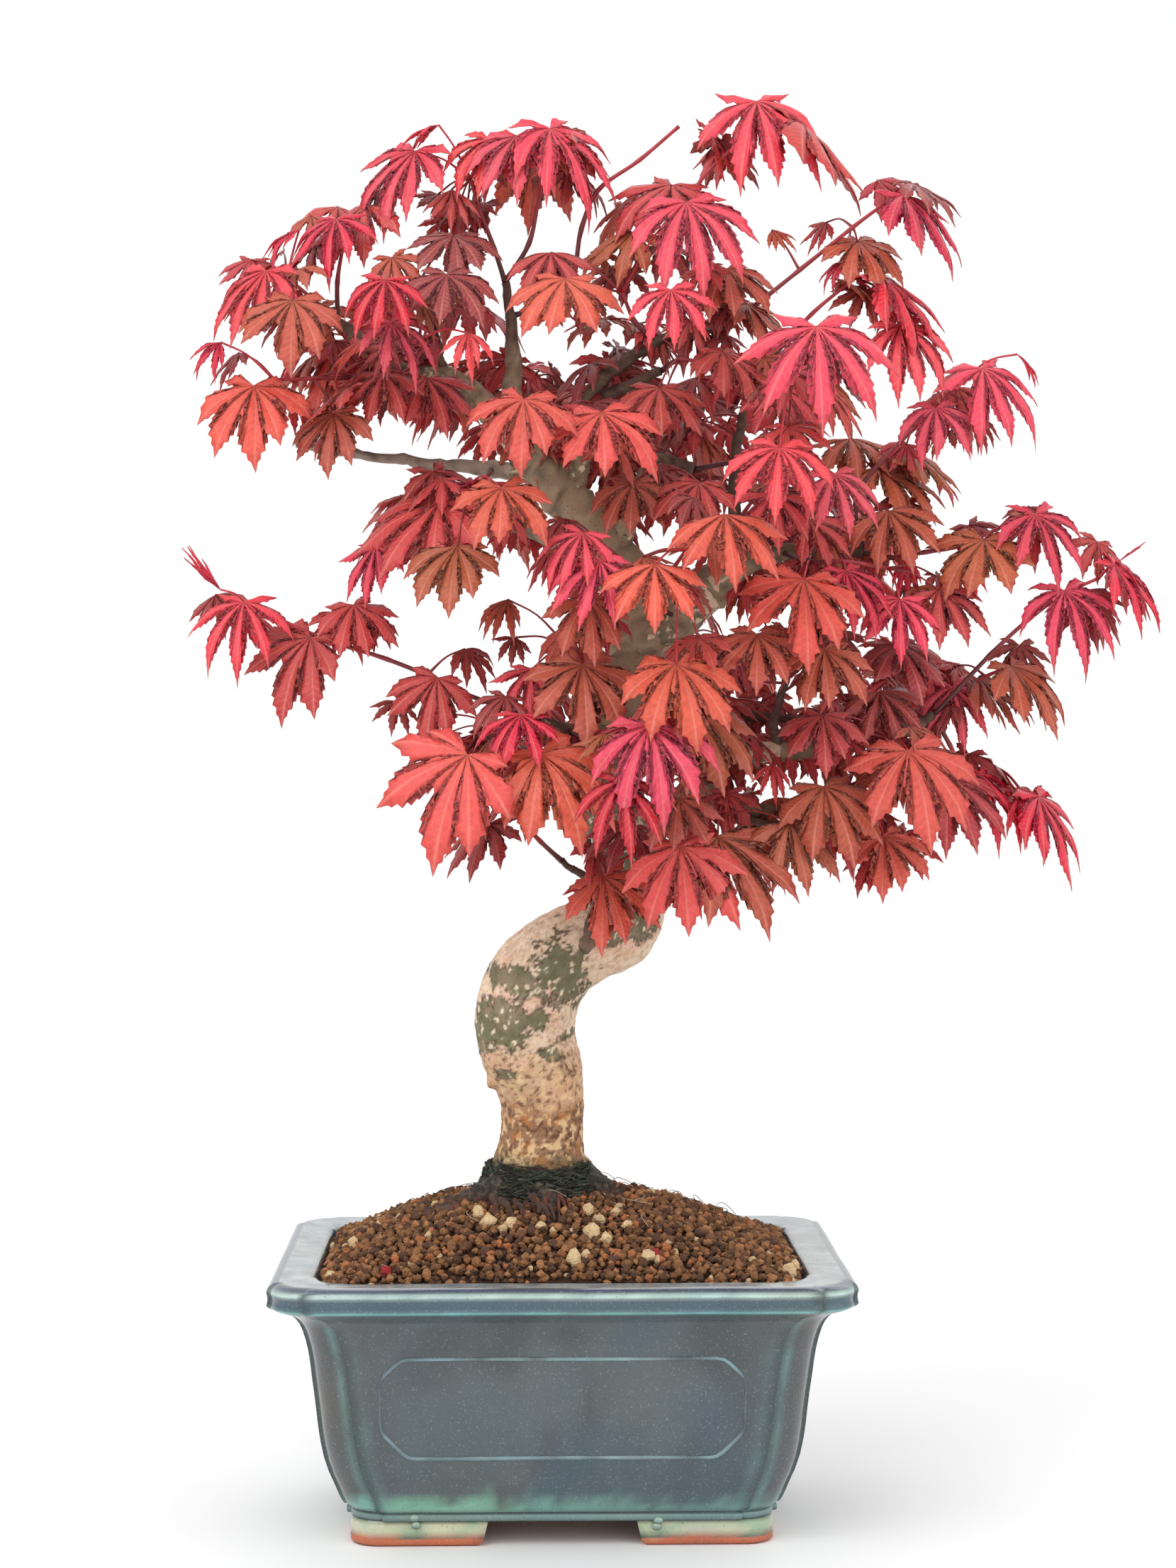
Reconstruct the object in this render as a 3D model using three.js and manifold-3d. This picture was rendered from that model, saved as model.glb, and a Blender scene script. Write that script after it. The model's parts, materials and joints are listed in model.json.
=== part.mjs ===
// A Japanese maple bonsai in a glazed rectangular pot.
// Millimetres, +Z up. Every table below is written about the middle of the pot's underside,
// with +X to the tree's right, +Y to its back; the last lines put the origin under the whole tree.
import * as THREE from 'three';
import { mergeVertices } from 'three/addons/utils/BufferGeometryUtils.js';
import Module from 'manifold-3d';

const wasm = await Module();
wasm.setup();

// ---------------------------------------------------------------- driving dimensions
const potLength = 213; // over the rim
const potDepth = 162; // over the rim
const potHeight = 99;
const floorUnderside = 9; // the feet lift the floor this high
const floorTop = 16;
const cornerSize = 14; // each corner is a round set between two small steps
const cornerStep = 1.5;
const footWidth = 13; // foot ring, outside to inside
const footGapLong = 56; // gap between two feet on a long side
const footGapShort = 40;
const drainHoleRadius = 9;
const drainHoleX = 38;
const panelHalfWidth = 66; // raised line on each long wall
const panelLow = 34.5;
const panelHigh = 71.5;
const panelChamfer = 10;
const panelLineWidth = 1.3;

const screenSize = 34;
const screenThickness = 1.2;
const screenPitch = 6.5;
const screenHole = 4.6;
const clipWireRadius = 0.8;
const gravelTop = 24;
const soilEdge = potHeight - 2; // height of the soil where it meets the rim
const soilRise = 29; // how much higher the mound is at the trunk

const leafThickness = 0.6;
const leafStalkRadius = 0.55;
const leafSag = 0.7; // how far each lobe has turned towards the ground at its tip
const stemRadius = 1.05;
const gap = 0.3; // clearance between neighbouring pieces

// Height and inset from the rim's outline, from the underside of the wall up to the rim. The wall
// between its base moulding and the rim stretches with the pot.
const wallBase = 12.4;
const wallTop = potHeight - 13;
const stretched = (share) => THREE.MathUtils.lerp(wallBase, wallTop, share);
const wallProfile = [
  [floorUnderside, 27.2], [wallBase - 0.4, 27.2], [wallBase, 26.4], [stretched(0.12), 22.8],
  [stretched(0.27), 19.2], [stretched(0.51), 16.7], [stretched(0.78), 14.3], [stretched(0.92), 12],
  [wallTop, 8.5], [potHeight - 10, 2], [potHeight - 8, 0], [potHeight - 2, 0], [potHeight, 2.2],
];
const cavityProfile = [
  [floorTop, 35], [floorTop + 7, 30.5], [stretched(0.51), 25.5], [stretched(0.92), 21],
  [potHeight - 7, 17.5], [potHeight + 2, 16.5],
];

// The tree's tables below are written for a rim at this height; the tree rises and sinks with it.
const rimInTables = 99;
const treeLift = potHeight - rimInTables;

// ---------------------------------------------------------------- the woody tree
// Each limb is a list of stations [x, y, z, radius], thick end first.
const trunk = [
  [-8, 0, 82, 15], [-8, 0, 96, 21], [-8, 0, 112, 21.5], [-8.5, 0, 124, 20], [-8, 0, 134, 17.6],
  [-7, 0, 146, 16], [-7, 0, 157, 16.3], [-9, 0, 168, 18], [-12.5, -1, 179, 19], [-13, -2, 190, 19.3],
  [-9.5, -3, 201, 19], [-1, -4, 211, 17.5], [10, -4, 217.5, 16], [21, -3, 222, 15.5],
  [26.5, -1, 231, 14.5], [25, 0, 244, 14], [20, 2, 262, 14], [17, 3, 282, 13.5], [20, 3, 300, 12.5],
  [27, 3, 318, 11.5], [30, 4, 336, 10.5], [25, 4, 356, 10], [13, 3, 374, 9.5], [0, 2, 388, 8.5],
  [-12, 1, 403, 7], [-18, 0, 420, 4.6], [-18, 0, 438, 3], [-19, 1, 455, 2], [-21, 1, 468, 1.4],
];
const knob = [[-12, -2, 166, 8], [-22, -3, 165.5, 6], [-28, -3, 165.5, 4]];
const roots = [
  [[-12, -4, 130, 13], [-24, -9, 121, 9], [-40, -14, 115, 6], [-60, -18, 108, 4], [-74, -20, 101, 2.5]],
  [[-8, -6, 128, 12], [-6, -20, 118, 9], [-2, -36, 109, 6], [4, -50, 100, 3.5]],
  [[-2, 0, 130, 12], [14, -4, 122, 8], [32, -8, 115, 5], [52, -14, 106, 3]],
  [[-10, 6, 128, 12], [-16, 22, 118, 8], [-26, 38, 108, 5], [-34, 48, 99, 3]],
  [[-2, 6, 128, 11], [10, 22, 118, 8], [24, 36, 107, 5], [34, 46, 98, 3]],
];
const branches = [
  // a short stub that rises in front of the first bend, with its side twig
  [[9, -10, 213, 4], [9.5, -21, 218, 2.6], [12, -24, 228, 2.3], [14, -25, 238, 2.2], [13, -24, 249, 1.5],
    [10, -23, 257, 1]],
  [[14, -25, 239, 1.9], [9, -26, 243, 1.5], [4, -27, 246, 1.3], [0, -28, 249, 1]],
  // lower right limb and its fork
  [[24, 0, 258, 8], [38, -10, 265, 6], [52, -14, 273, 5.5], [63, -14, 269, 4], [78, -15, 267, 2.6],
    [92, -16, 267, 2.2], [108, -16, 270, 1.6]],
  [[60, -14, 269, 3.5], [74, -20, 262, 2.4], [90, -23, 261, 2.2], [112, -25, 261, 1.8]],
  // long middle right limb and what rises from it
  [[22, 2, 286, 7], [42, 0, 292, 5], [64, -4, 290, 4], [84, -6, 289, 3.6], [102, -8, 292, 2.8],
    [120, -9, 296, 2.6], [135, -10, 299, 2.6], [141, -10, 303, 1.8]],
  [[83, -6, 290, 2.4], [81, -7, 300, 1.8], [84, -8, 312, 1.4], [87, -9, 322, 1.1]],
  [[40, 0, 293, 3.4], [56, 6, 300, 2.6], [74, 8, 303, 2], [92, 8, 301, 1.4]],
  // upper right limb
  [[30, 2, 330, 8], [45, -2, 340, 7], [58, -4, 350, 6], [70, -5, 361, 4.5], [84, -6, 365, 3],
    [100, -6, 365, 2], [114, -6, 365, 1.8]],
  [[60, -4, 352, 4], [66, 2, 375, 2.6], [67, 4, 400, 2.2], [69, 4, 414, 1.8], [71, 3, 424, 1.2]],
  // the crown's middle
  [[20, 3, 366, 6], [28, -4, 384, 4], [37, -8, 399, 3], [50, -10, 396, 2]],
  [[3, 2, 384, 5], [8, -2, 400, 3.2], [9, -3, 417, 3], [15, -4, 430, 2.8], [26, -5, 438, 2.2],
    [36, -6, 444, 1.8], [46, -6, 449, 1.2]],
  [[11, -3, 422, 2.4], [24, -8, 427, 2.2], [38, -12, 433, 1.6]],
  // upper left limb, its spur, and the bare grey twig below it
  [[-12, 0, 402, 6], [-28, -4, 420, 4.6], [-42, -6, 431, 3.6], [-56, -7, 432, 3.2], [-68, -8, 437, 3],
    [-77, -8, 446, 2.6], [-84, -8, 452, 1.6]],
  [[-44, -6, 431, 2.8], [-47, -4, 441, 2.4], [-48, -2, 452, 1.6]],
  [[-6, 2, 394, 4], [-26, 0, 397, 3], [-46, -2, 398, 2.4], [-60, -3, 400, 1.9], [-78, -4, 402, 1.7],
    [-92, -5, 404, 1.5], [-100, -5, 406, 1.2]],
  // the spur that carries the long lower left shoot
  [[14, 0, 296, 5], [2, -10, 298, 2.4], [-8, -16, 301, 1.8]],
  // limbs that fill the back
  [[22, 8, 302, 7], [30, 30, 312, 4.5], [40, 55, 322, 3], [48, 78, 330, 1.8]],
  [[20, 6, 362, 6], [0, 34, 372, 4], [-22, 58, 380, 2.4], [-38, 74, 384, 1.6]],
  [[28, 6, 340, 6], [52, 30, 356, 4], [78, 52, 368, 2.6], [98, 66, 372, 1.6]],
  [[-6, 4, 394, 5], [-10, 30, 412, 3.4], [-12, 52, 428, 2.2]],
  [[20, 6, 270, 6], [10, 34, 280, 4], [-8, 60, 288, 2.4], [-20, 74, 290, 1.6]],
];

// ---------------------------------------------------------------- the leafy shoots
// stem: points after the one on the wood. leaves: [x, y, z, face, lift, turn, size, tone].
// x, y, z is the top of the leaf stalk. face is the compass direction the blade faces (0 right,
// -90 front, 90 back, 180 left), lift how far it looks up, turn swings the middle lobe to the
// viewer's right, size is the middle lobe's length and tone picks the colour.
const shoots = [
  { stem: [[-25, 0, 480], [-31, -3, 496], [-34, -4, 506]],
    leaves: [[-46, -6, 526, 180, 80, 0, 21, 0], [-55, -6, 516, -120, 42, -15, 42, 1],
      [-41, -10, 501, -90, 50, 0, 25, 3], [-27, -9, 520, -100, 42, 0, 33, 1]] },
  { stem: [[-12, -2, 482], [-8, -3, 500], [-4, -4, 514]],
    leaves: [[-17, -14, 520, -90, 42, 8, 38, 1], [-4, -10, 524, -60, 45, 15, 46, 1],
      [2, 2, 525, 0, 65, 0, 26, 3], [-8, 14, 521, 100, 50, 0, 38, 2]] },
  { stem: [[2, -1, 462], [8, -2, 488], [14, -2, 502], [30, -1, 514], [45, 0, 527]],
    leaves: [[1, -40, 463, -90, 50, -5, 36, 2]] },
  { stem: [[28, -8, 452], [23, -14, 462]],
    leaves: [[46, -35, 492, -85, 45, 8, 48, 1], [42, -5, 504, -95, 55, -20, 38, 3],
      [-4, -25, 475, -90, 48, 0, 28, 3]] },
  { stem: [[48, 0, 470], [50, -2, 490], [52, -3, 504], [66, -4, 519]],
    leaves: [[74, -8, 535, -80, 45, 12, 50, 1], [92, -2, 528, -20, 50, 0, 48, 3]] },
  { stem: [[60, -8, 449], [76, -10, 460], [90, -11, 471], [110, -12, 487], [122, -12, 496]],
    leaves: [[129, -14, 499, -50, 52, 20, 42, 0], [80, -6, 487, -90, 55, 30, 16, 4],
      [112, -10, 482, -80, 55, 10, 28, 4]] },
  { stem: [[68, -20, 399], [72, -42, 402], [84, -56, 428]],
    leaves: [[90, -75, 441, -88, 40, 3, 52, 1], [76, -85, 397, -92, 48, -5, 36, 1],
      [97, -70, 389, -75, 38, 12, 33, 1]] },
  { stem: [[80, -2, 438], [95, -8, 455], [111, -12, 468]],
    leaves: [[106, -14, 474, -140, 45, -30, 16, 0], [121, -16, 468, -45, 52, 30, 42, 0],
      [127, -20, 449, -80, 40, 12, 36, 1]] },
  { stem: [[112, -8, 386], [121, -9, 399], [134, -10, 412], [147, -10, 425], [153, -10, 431]],
    leaves: [[159, -14, 434, -70, 45, 12, 42, 1], [173, -8, 440, -20, 50, 10, 17, 0],
      [140, -22, 418, -90, 45, 5, 30, 1], [157, -6, 418, -60, 38, 0, 21, 5]] },
  { stem: [[116, -2, 380], [121, 2, 396], [132, 4, 404]],
    leaves: [[134, 6, 405, -40, 58, 10, 32, 4], [122, 4, 398, -60, 65, 25, 36, 4],
      [123, -18, 380, -85, 50, 15, 34, 4], [112, 12, 410, -90, 70, 0, 30, 4]] },
  { stem: [[125, -8, 363], [138, -10, 365], [150, -10, 367], [166, -10, 374]],
    leaves: [[159, -18, 369, -92, 48, -10, 35, 4], [179, -14, 379, -75, 42, 8, 36, 1],
      [131, -14, 362, -90, 35, -10, 19, 0], [152, -14, 360, -90, 35, 5, 20, 1]] },
  { stem: [[150, -12, 313], [162, -14, 326], [176, -15, 339], [190, -15, 349], [203, -15, 355]],
    leaves: [[189, -20, 350, -85, 46, 8, 38, 1], [209, -14, 360, -40, 50, 20, 36, 0],
      [212, -10, 362, 180, 55, 180, 12, 0]] },
  { stem: [[150, -4, 310], [162, -4, 318], [169, -4, 321]],
    leaves: [[171, -8, 322, -60, 50, 20, 34, 4], [160, 0, 318, -40, 50, 15, 30, 4],
      [149, -6, 314, -90, 32, 10, 29, 1]] },
  { stem: [[122, -28, 295]],
    leaves: [[127, -45, 290, -90, 42, 5, 41, 2], [96, -40, 303, -90, 50, -5, 28, 3],
      [119, -25, 312, -80, 40, 15, 29, 5]] },
  { stem: [[148, -6, 292], [152, -4, 284]],
    leaves: [[147, -12, 279, -70, 42, 10, 36, 3], [160, -2, 281, -60, 38, 0, 35, 0]] },
  { stem: [[146, 4, 284], [158, 4, 273], [168, 2, 275], [176, 0, 275]],
    leaves: [[175, -4, 272, -70, 35, 0, 25, 0], [183, 0, 272, -40, 38, 5, 40, 0]] },
  { stem: [[118, -26, 263]],
    leaves: [[120, -30, 258, -75, 48, 12, 30, 2], [96, -45, 277, -85, 48, 15, 36, 4],
      [101, -33, 263, -90, 35, -5, 25, 3]] },
  { stem: [[58, -34, 266]],
    leaves: [[83, -50, 264, -75, 34, 10, 32, 4], [56, -60, 259, -70, 46, 20, 46, 4],
      [42, -60, 273, -90, 50, 0, 28, 4]] },
  { stem: [[34, -34, 258], [30, -46, 253]],
    leaves: [[42, -70, 256, -88, 38, 8, 40, 2], [15, -50, 244, -85, 40, 25, 34, 2]] },
  { stem: [[18, -30, 290], [22, -60, 296], [26, -76, 298]],
    leaves: [[30, -90, 299, -88, 45, 8, 46, 1], [20, -100, 280, -88, 38, 5, 34, 0]] },
  { stem: [[4, -26, 288], [-6, -48, 292], [-14, -60, 295]],
    leaves: [[-15, -70, 303, -95, 55, -8, 32, 0], [-8, -75, 289, -85, 35, 25, 42, 2]] },
  { stem: [[-8, -48, 257], [-16, -66, 266]],
    leaves: [[-34, -85, 289, -95, 28, -28, 46, 2]] },
  { stem: [[-22, -20, 306], [-38, -24, 312], [-50, -26, 318], [-65, -26, 324], [-79, -26, 328.5],
      [-92, -25, 333], [-105, -24, 339], [-117, -22, 345]],
    leaves: [[-118, -26, 345, -95, 45, -5, 36, 1], [-127, -20, 350, -20, 40, 180, 24, 0],
      [-93, -28, 332, -110, 38, -25, 36, 3], [-77, -30, 344, -80, 50, 15, 28, 3],
      [-46, -34, 317, -92, 30, -15, 30, 3]] },
  { stem: [[14, -22, 322], [2, -40, 328]],
    leaves: [[-11, -45, 320, -92, 48, -5, 27, 1], [7, -60, 321, -90, 42, 0, 36, 4],
      [-20, -30, 346, -95, 52, -15, 23, 4]] },
  { stem: [[18, -26, 362], [13, -50, 366]],
    leaves: [[9, -65, 345, -88, 40, 0, 28, 4], [13, -75, 358, -92, 34, -15, 34, 1],
      [7, -70, 368, -95, 44, -20, 30, 1]] },
  { stem: [[34, -30, 346], [40, -56, 356], [44, -68, 362]],
    leaves: [[32, -85, 356, -90, 46, 0, 33, 2], [57, -80, 374, -88, 48, 5, 37, 2],
      [40, -80, 321, -85, 46, 5, 37, 2]] },
  { stem: [[92, -30, 360], [104, -34, 360], [122, -26, 358]],
    leaves: [[87, -60, 352, -90, 46, -8, 39, 2], [125, -35, 346, -88, 40, -5, 30, 1],
      [141, -25, 350, -70, 48, 15, 30, 3], [104, -44, 356, -60, 48, 15, 32, 0]] },
  { stem: [[90, -28, 328], [88, -44, 332]],
    leaves: [[95, -55, 327, -85, 42, 5, 30, 4], [70, -65, 332, -90, 44, 0, 30, 4],
      [126, -20, 330, -80, 55, 10, 30, 5]] },
  { stem: [[4, -24, 408], [0, -44, 414]],
    leaves: [[14, -60, 412, -90, 46, 10, 37, 2], [-14, -65, 416, -92, 46, -10, 33, 2]] },
  { stem: [[-28, -20, 392], [-34, -36, 388]],
    leaves: [[-22, -70, 384, -92, 46, 8, 31, 2], [-45, -40, 381, -110, 46, -25, 44, 3],
      [-38, -55, 364, -95, 48, -8, 32, 4], [-69, -25, 366, -120, 35, 0, 27, 1]] },
  { stem: [[-76, -18, 430], [-92, -26, 428], [-106, -30, 427]],
    leaves: [[-113, -35, 424, -95, 40, 0, 36, 2], [-126, -28, 441, -100, 48, -30, 20, 0],
      [-78, -32, 424, 180, 62, 0, 30, 3], [-84, -34, 414, -110, 35, 0, 27, 4]] },
  { stem: [[-92, -16, 458], [-102, -22, 466]],
    leaves: [[-98, -45, 454, -95, 46, -5, 33, 4], [-109, -30, 467, -120, 44, -12, 38, 1],
      [-98, -14, 485, -135, 65, -20, 24, 0], [-112, -8, 470, 180, 50, 0, 28, 4]] },
  { stem: [[-84, -10, 466], [-82, -12, 478]],
    leaves: [[-84, -20, 488, -110, 50, 0, 32, 0], [-74, -4, 496, -130, 48, -10, 36, 3]] },
  { stem: [[-52, -16, 456], [-54, -32, 460]],
    leaves: [[-64, -55, 460, -92, 40, -5, 30, 0], [-40, -20, 482, -90, 58, 0, 29, 5],
      [-42, -42, 464, -90, 48, 0, 30, 5]] },
  { stem: [[-50, -22, 440], [-52, -38, 441]],
    leaves: [[-34, -55, 441, -90, 50, 0, 23, 1], [-62, -46, 446, -70, 42, 20, 30, 1],
      [-72, -22, 444, -150, 62, 0, 24, 2]] },
  { stem: [[-60, -16, 431]],
    leaves: [[-66, -26, 430, -100, 46, -10, 27, 3], [-50, -20, 429, -80, 46, 15, 30, 3]] },
  { stem: [[46, -26, 454], [52, -34, 456]],
    leaves: [[39, -60, 456, -88, 44, 5, 31, 1], [62, -20, 470, -80, 55, 0, 30, 4],
      [70, -12, 458, -50, 58, 15, 26, 4]] },
  { stem: [[44, -20, 436], [56, -24, 434]],
    leaves: [[36, -34, 424, -80, 52, 0, 30, 3], [60, -28, 438, -60, 56, 10, 30, 3],
      [82, -34, 424, -80, 40, 0, 30, 3]] },
  { stem: [[38, -26, 394]],
    leaves: [[26, -42, 388, -90, 48, 0, 28, 4], [50, -46, 388, -95, 58, -20, 28, 3]] },
  { stem: [[72, -20, 384]],
    leaves: [[78, -42, 384, -90, 45, 0, 28, 3], [92, -30, 376, -70, 45, 10, 26, 3]] },
  { stem: [[60, -24, 297]],
    leaves: [[47, -50, 305, -80, 46, 15, 38, 4], [78, -32, 285, -90, 40, 0, 18, 1]] },
];

// Shoots that fill the back and the sides of the crown: [x, y, z] of each one's fork.
const rearForks = [
  [52, 84, 336], [-40, 78, 390], [102, 68, 378], [-12, 58, 438], [-22, 76, 296], [30, 40, 420],
  [130, 26, 318], [-70, 34, 444], [84, 40, 440],
];
const leavesPerRearFork = 4;
const rearStalkReach = 24;

// One blade's outline about the top of its stalk: [degrees from the middle lobe, reach]. Three long
// lobes with valleys between them and a shoulder for the small lobe on each side.
const bladeOutline = [[-116, 0.48], [-58, 0.88], [-29, 0.36], [0, 1], [29, 0.36], [58, 0.88], [116, 0.48]];
const notchBack = -0.04; // how far the blade reaches back past its stalk, in lobe lengths
const stalkInside = 0.03; // how far the stalk runs into the blade

const leafColours = [0xc8102f, 0xe2485a, 0xdc5a45, 0xb03038, 0xb0512f, 0x7a2c2c];

// ---------------------------------------------------------------- helpers
const radians = THREE.MathUtils.degToRad;
const down = new THREE.Vector3(0, 0, -1);

// A closed geometry as a solid for joining and cutting.
function solid(geometry) {
  const bare = geometry.clone();
  bare.deleteAttribute('normal');
  bare.deleteAttribute('uv');
  const merged = mergeVertices(bare, 1e-4);
  return new wasm.Manifold(new wasm.Mesh({
    numProp: 3,
    vertProperties: new Float32Array(merged.attributes.position.array),
    triVerts: new Uint32Array(merged.index.array),
  }));
}

// The solid's surface as a geometry again.
function surface(body) {
  const mesh = body.getMesh();
  const geometry = new THREE.BufferGeometry();
  geometry.setAttribute('position', new THREE.BufferAttribute(new Float32Array(mesh.vertProperties), 3));
  geometry.setIndex(new THREE.BufferAttribute(new Uint32Array(mesh.triVerts), 1));
  geometry.computeVertexNormals();
  return geometry;
}

// Joins and cuts that free the solids they use up.
function join(body, part) {
  const sum = body.add(part);
  body.delete();
  part.delete();
  return sum;
}

function cut(body, tool) {
  const rest = body.subtract(tool);
  body.delete();
  return rest;
}

function joined(geometries) {
  return geometries.map(solid).reduce(join);
}

// Repeatable variation between 0 and 1.
function vary(seed) {
  const wave = Math.sin(seed * 12.9898) * 43758.5453;
  return wave - Math.floor(wave);
}

// A round, tapering limb through its stations: a capped cylinder whose rings follow the path.
function limb(stations, sides, stepsPerSpan, extra = 0) {
  const path = new THREE.CatmullRomCurve3(stations.map(([x, y, z]) => new THREE.Vector3(x, y, z)));
  const spans = stations.length - 1;
  const steps = spans * stepsPerSpan;
  const rings = [];
  let side = new THREE.Vector3(1, 0.13, 0.07);
  for (let k = 0; k <= steps; k += 1) {
    const tangent = path.getTangent(k / steps);
    side = side.clone().addScaledVector(tangent, -side.dot(tangent)).normalize();
    const span = Math.min(Math.floor(k / stepsPerSpan), spans - 1);
    const along = k / stepsPerSpan - span;
    const radius = THREE.MathUtils.lerp(stations[span][3], stations[span + 1][3], along) + extra;
    const centre = path.getPoint(k / steps);
    if (k === 0) centre.addScaledVector(tangent, -extra);
    if (k === steps) centre.addScaledVector(tangent, extra);
    rings.push({ centre, side, up: side.clone().cross(tangent), radius });
  }
  const skin = new THREE.CylinderGeometry(1, 1, steps, sides, steps);
  const position = skin.attributes.position;
  for (let i = 0; i < position.count; i += 1) {
    const ring = rings[Math.round(position.getY(i) + steps / 2)];
    const point = ring.centre.clone()
      .addScaledVector(ring.side, position.getX(i) * ring.radius)
      .addScaledVector(ring.up, position.getZ(i) * ring.radius);
    position.setXYZ(i, point.x, point.y, point.z);
  }
  return skin;
}

// ---------------------------------------------------------------- pot
// The rim's outline seen from above: a rectangle whose rounded corners are set in by a step.
function potOutline() {
  const a = potLength / 2;
  const b = potDepth / 2;
  const c = cornerSize;
  const r = cornerSize - cornerStep;
  const shape = new THREE.Shape();
  shape.moveTo(a, -(b - c));
  shape.lineTo(a, b - c);
  shape.absarc(a - c, b - c, r, 0, Math.PI / 2, false);
  shape.lineTo(a - c, b);
  shape.lineTo(-(a - c), b);
  shape.absarc(-(a - c), b - c, r, Math.PI / 2, Math.PI, false);
  shape.lineTo(-a, b - c);
  shape.lineTo(-a, -(b - c));
  shape.absarc(-(a - c), -(b - c), r, Math.PI, Math.PI * 1.5, false);
  shape.lineTo(-(a - c), -b);
  shape.lineTo(a - c, -b);
  shape.absarc(a - c, -(b - c), r, Math.PI * 1.5, Math.PI * 2, false);
  return shape;
}

// A block with the pot's outline whose walls follow [height, inset] stations.
function flaredBlock(profile) {
  const block = new THREE.ExtrudeGeometry(potOutline(), {
    depth: profile.length - 1, steps: profile.length - 1, bevelEnabled: false, curveSegments: 2,
  });
  const position = block.attributes.position;
  for (let i = 0; i < position.count; i += 1) {
    const [height, inset] = profile[Math.round(position.getZ(i))];
    const x = position.getX(i);
    const y = position.getY(i);
    position.setXYZ(i, x - Math.sign(x) * inset, y - Math.sign(y) * inset, height);
  }
  return block;
}

function box(width, depth, height, x, y, z) {
  return new THREE.BoxGeometry(width, depth, height).translate(x, y, z);
}

// A channel under the pot between two feet, a little wider at the ground.
function footChannel(width, length) {
  const shape = new THREE.Shape();
  shape.moveTo(-width / 2 - 2, -1);
  shape.lineTo(width / 2 + 2, -1);
  shape.lineTo(width / 2 - 1, floorUnderside);
  shape.lineTo(-width / 2 + 1, floorUnderside);
  const channel = new THREE.ExtrudeGeometry(shape, { depth: length, bevelEnabled: false });
  return channel.rotateX(Math.PI / 2).translate(0, length / 2, 0);
}

// A profile's inset at any height.
function insetAt(profile, height) {
  const above = profile.findIndex(([z]) => z >= height);
  const [z0, inset0] = profile[Math.max(above - 1, 0)];
  const [z1, inset1] = profile[above];
  const along = z1 > z0 ? (height - z0) / (z1 - z0) : 0;
  return THREE.MathUtils.lerp(inset0, inset1, along);
}

// The raised eight-sided line on a long wall, leaned to lie along the wall.
function panelLine() {
  const half = (panelHigh - panelLow) / 2;
  const ringAt = (grow) => [
    [-panelHalfWidth + panelChamfer, -half - grow], [panelHalfWidth - panelChamfer, -half - grow],
    [panelHalfWidth + grow, -half + panelChamfer], [panelHalfWidth + grow, half - panelChamfer],
    [panelHalfWidth - panelChamfer, half + grow], [-panelHalfWidth + panelChamfer, half + grow],
    [-panelHalfWidth - grow, half - panelChamfer], [-panelHalfWidth - grow, -half + panelChamfer],
  ].map(([x, y]) => new THREE.Vector2(x, y));
  const shape = new THREE.Shape(ringAt(panelLineWidth / 2));
  shape.holes.push(new THREE.Path(ringAt(-panelLineWidth / 2)));
  const line = new THREE.ExtrudeGeometry(shape, { depth: 4, bevelEnabled: false });
  const [lowInset, highInset] = [panelLow, panelHigh].map((height) => insetAt(wallProfile, height));
  const lean = Math.atan2(lowInset - highInset, panelHigh - panelLow);
  const wallInset = (lowInset + highInset) / 2;
  return line.rotateX(Math.PI / 2 + lean)
    .translate(0, -potDepth / 2 + wallInset + 3.1, (panelLow + panelHigh) / 2);
}

function makePot() {
  let pot = solid(flaredBlock(wallProfile));
  const footRing = solid(flaredBlock([[0, 28.6], [floorUnderside + 0.5, 28]]));
  pot = pot.add(footRing);
  pot = pot.add(solid(panelLine()));
  pot = pot.add(solid(panelLine().rotateZ(Math.PI)));
  pot = pot.subtract(solid(flaredBlock(cavityProfile)));
  const innerLength = potLength - 2 * (28 + footWidth);
  const innerDepth = potDepth - 2 * (28 + footWidth);
  pot = pot.subtract(solid(box(innerLength, innerDepth, floorUnderside + 1, 0, 0, (floorUnderside - 1) / 2)));
  pot = pot.subtract(solid(footChannel(footGapLong, potDepth)));
  pot = pot.subtract(solid(footChannel(footGapShort, potLength).rotateZ(Math.PI / 2)));
  for (const x of [-drainHoleX, drainHoleX]) {
    const hole = new THREE.CylinderGeometry(drainHoleRadius, drainHoleRadius, 30, 20);
    pot = pot.subtract(solid(hole.rotateX(Math.PI / 2).translate(x, 0, floorTop)));
  }
  return pot;
}

// ---------------------------------------------------------------- what lies in the pot
function makeScreen(x) {
  const middle = floorTop + gap + screenThickness / 2;
  let screen = solid(box(screenSize, screenSize, screenThickness, x, 0, middle));
  for (let i = -1; i <= 1; i += 1) {
    for (let j = -1; j <= 1; j += 1) {
      const hole = box(screenHole, screenHole, 4, x + i * screenPitch, j * screenPitch, middle);
      screen = screen.subtract(solid(hole));
    }
  }
  return screen;
}

// A wire staple: over the screen, down through the drain hole and out under the floor.
function makeClip(x, extra = 0) {
  const legs = screenPitch;
  const top = floorTop + gap + screenThickness + gap + clipWireRadius;
  const under = floorUnderside - gap - clipWireRadius;
  const half = [[legs + 8, under], [legs + 1, under], [legs, under + 1.2], [legs, top - 1.2], [legs - 1.2, top]];
  const path = [...half.map(([u, z]) => [x - u, 0, z, clipWireRadius]),
    ...half.reverse().map(([u, z]) => [x + u, 0, z, clipWireRadius])];
  return solid(limb(path, 6, 2, extra));
}

const loosenedCavity = (low, high) => cavityProfile
  .filter(([z]) => z > low && z < high)
  .map(([z, inset]) => [z, inset + gap]);

const cavityInsetAt = (height) => insetAt(cavityProfile, height) + gap;

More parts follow.
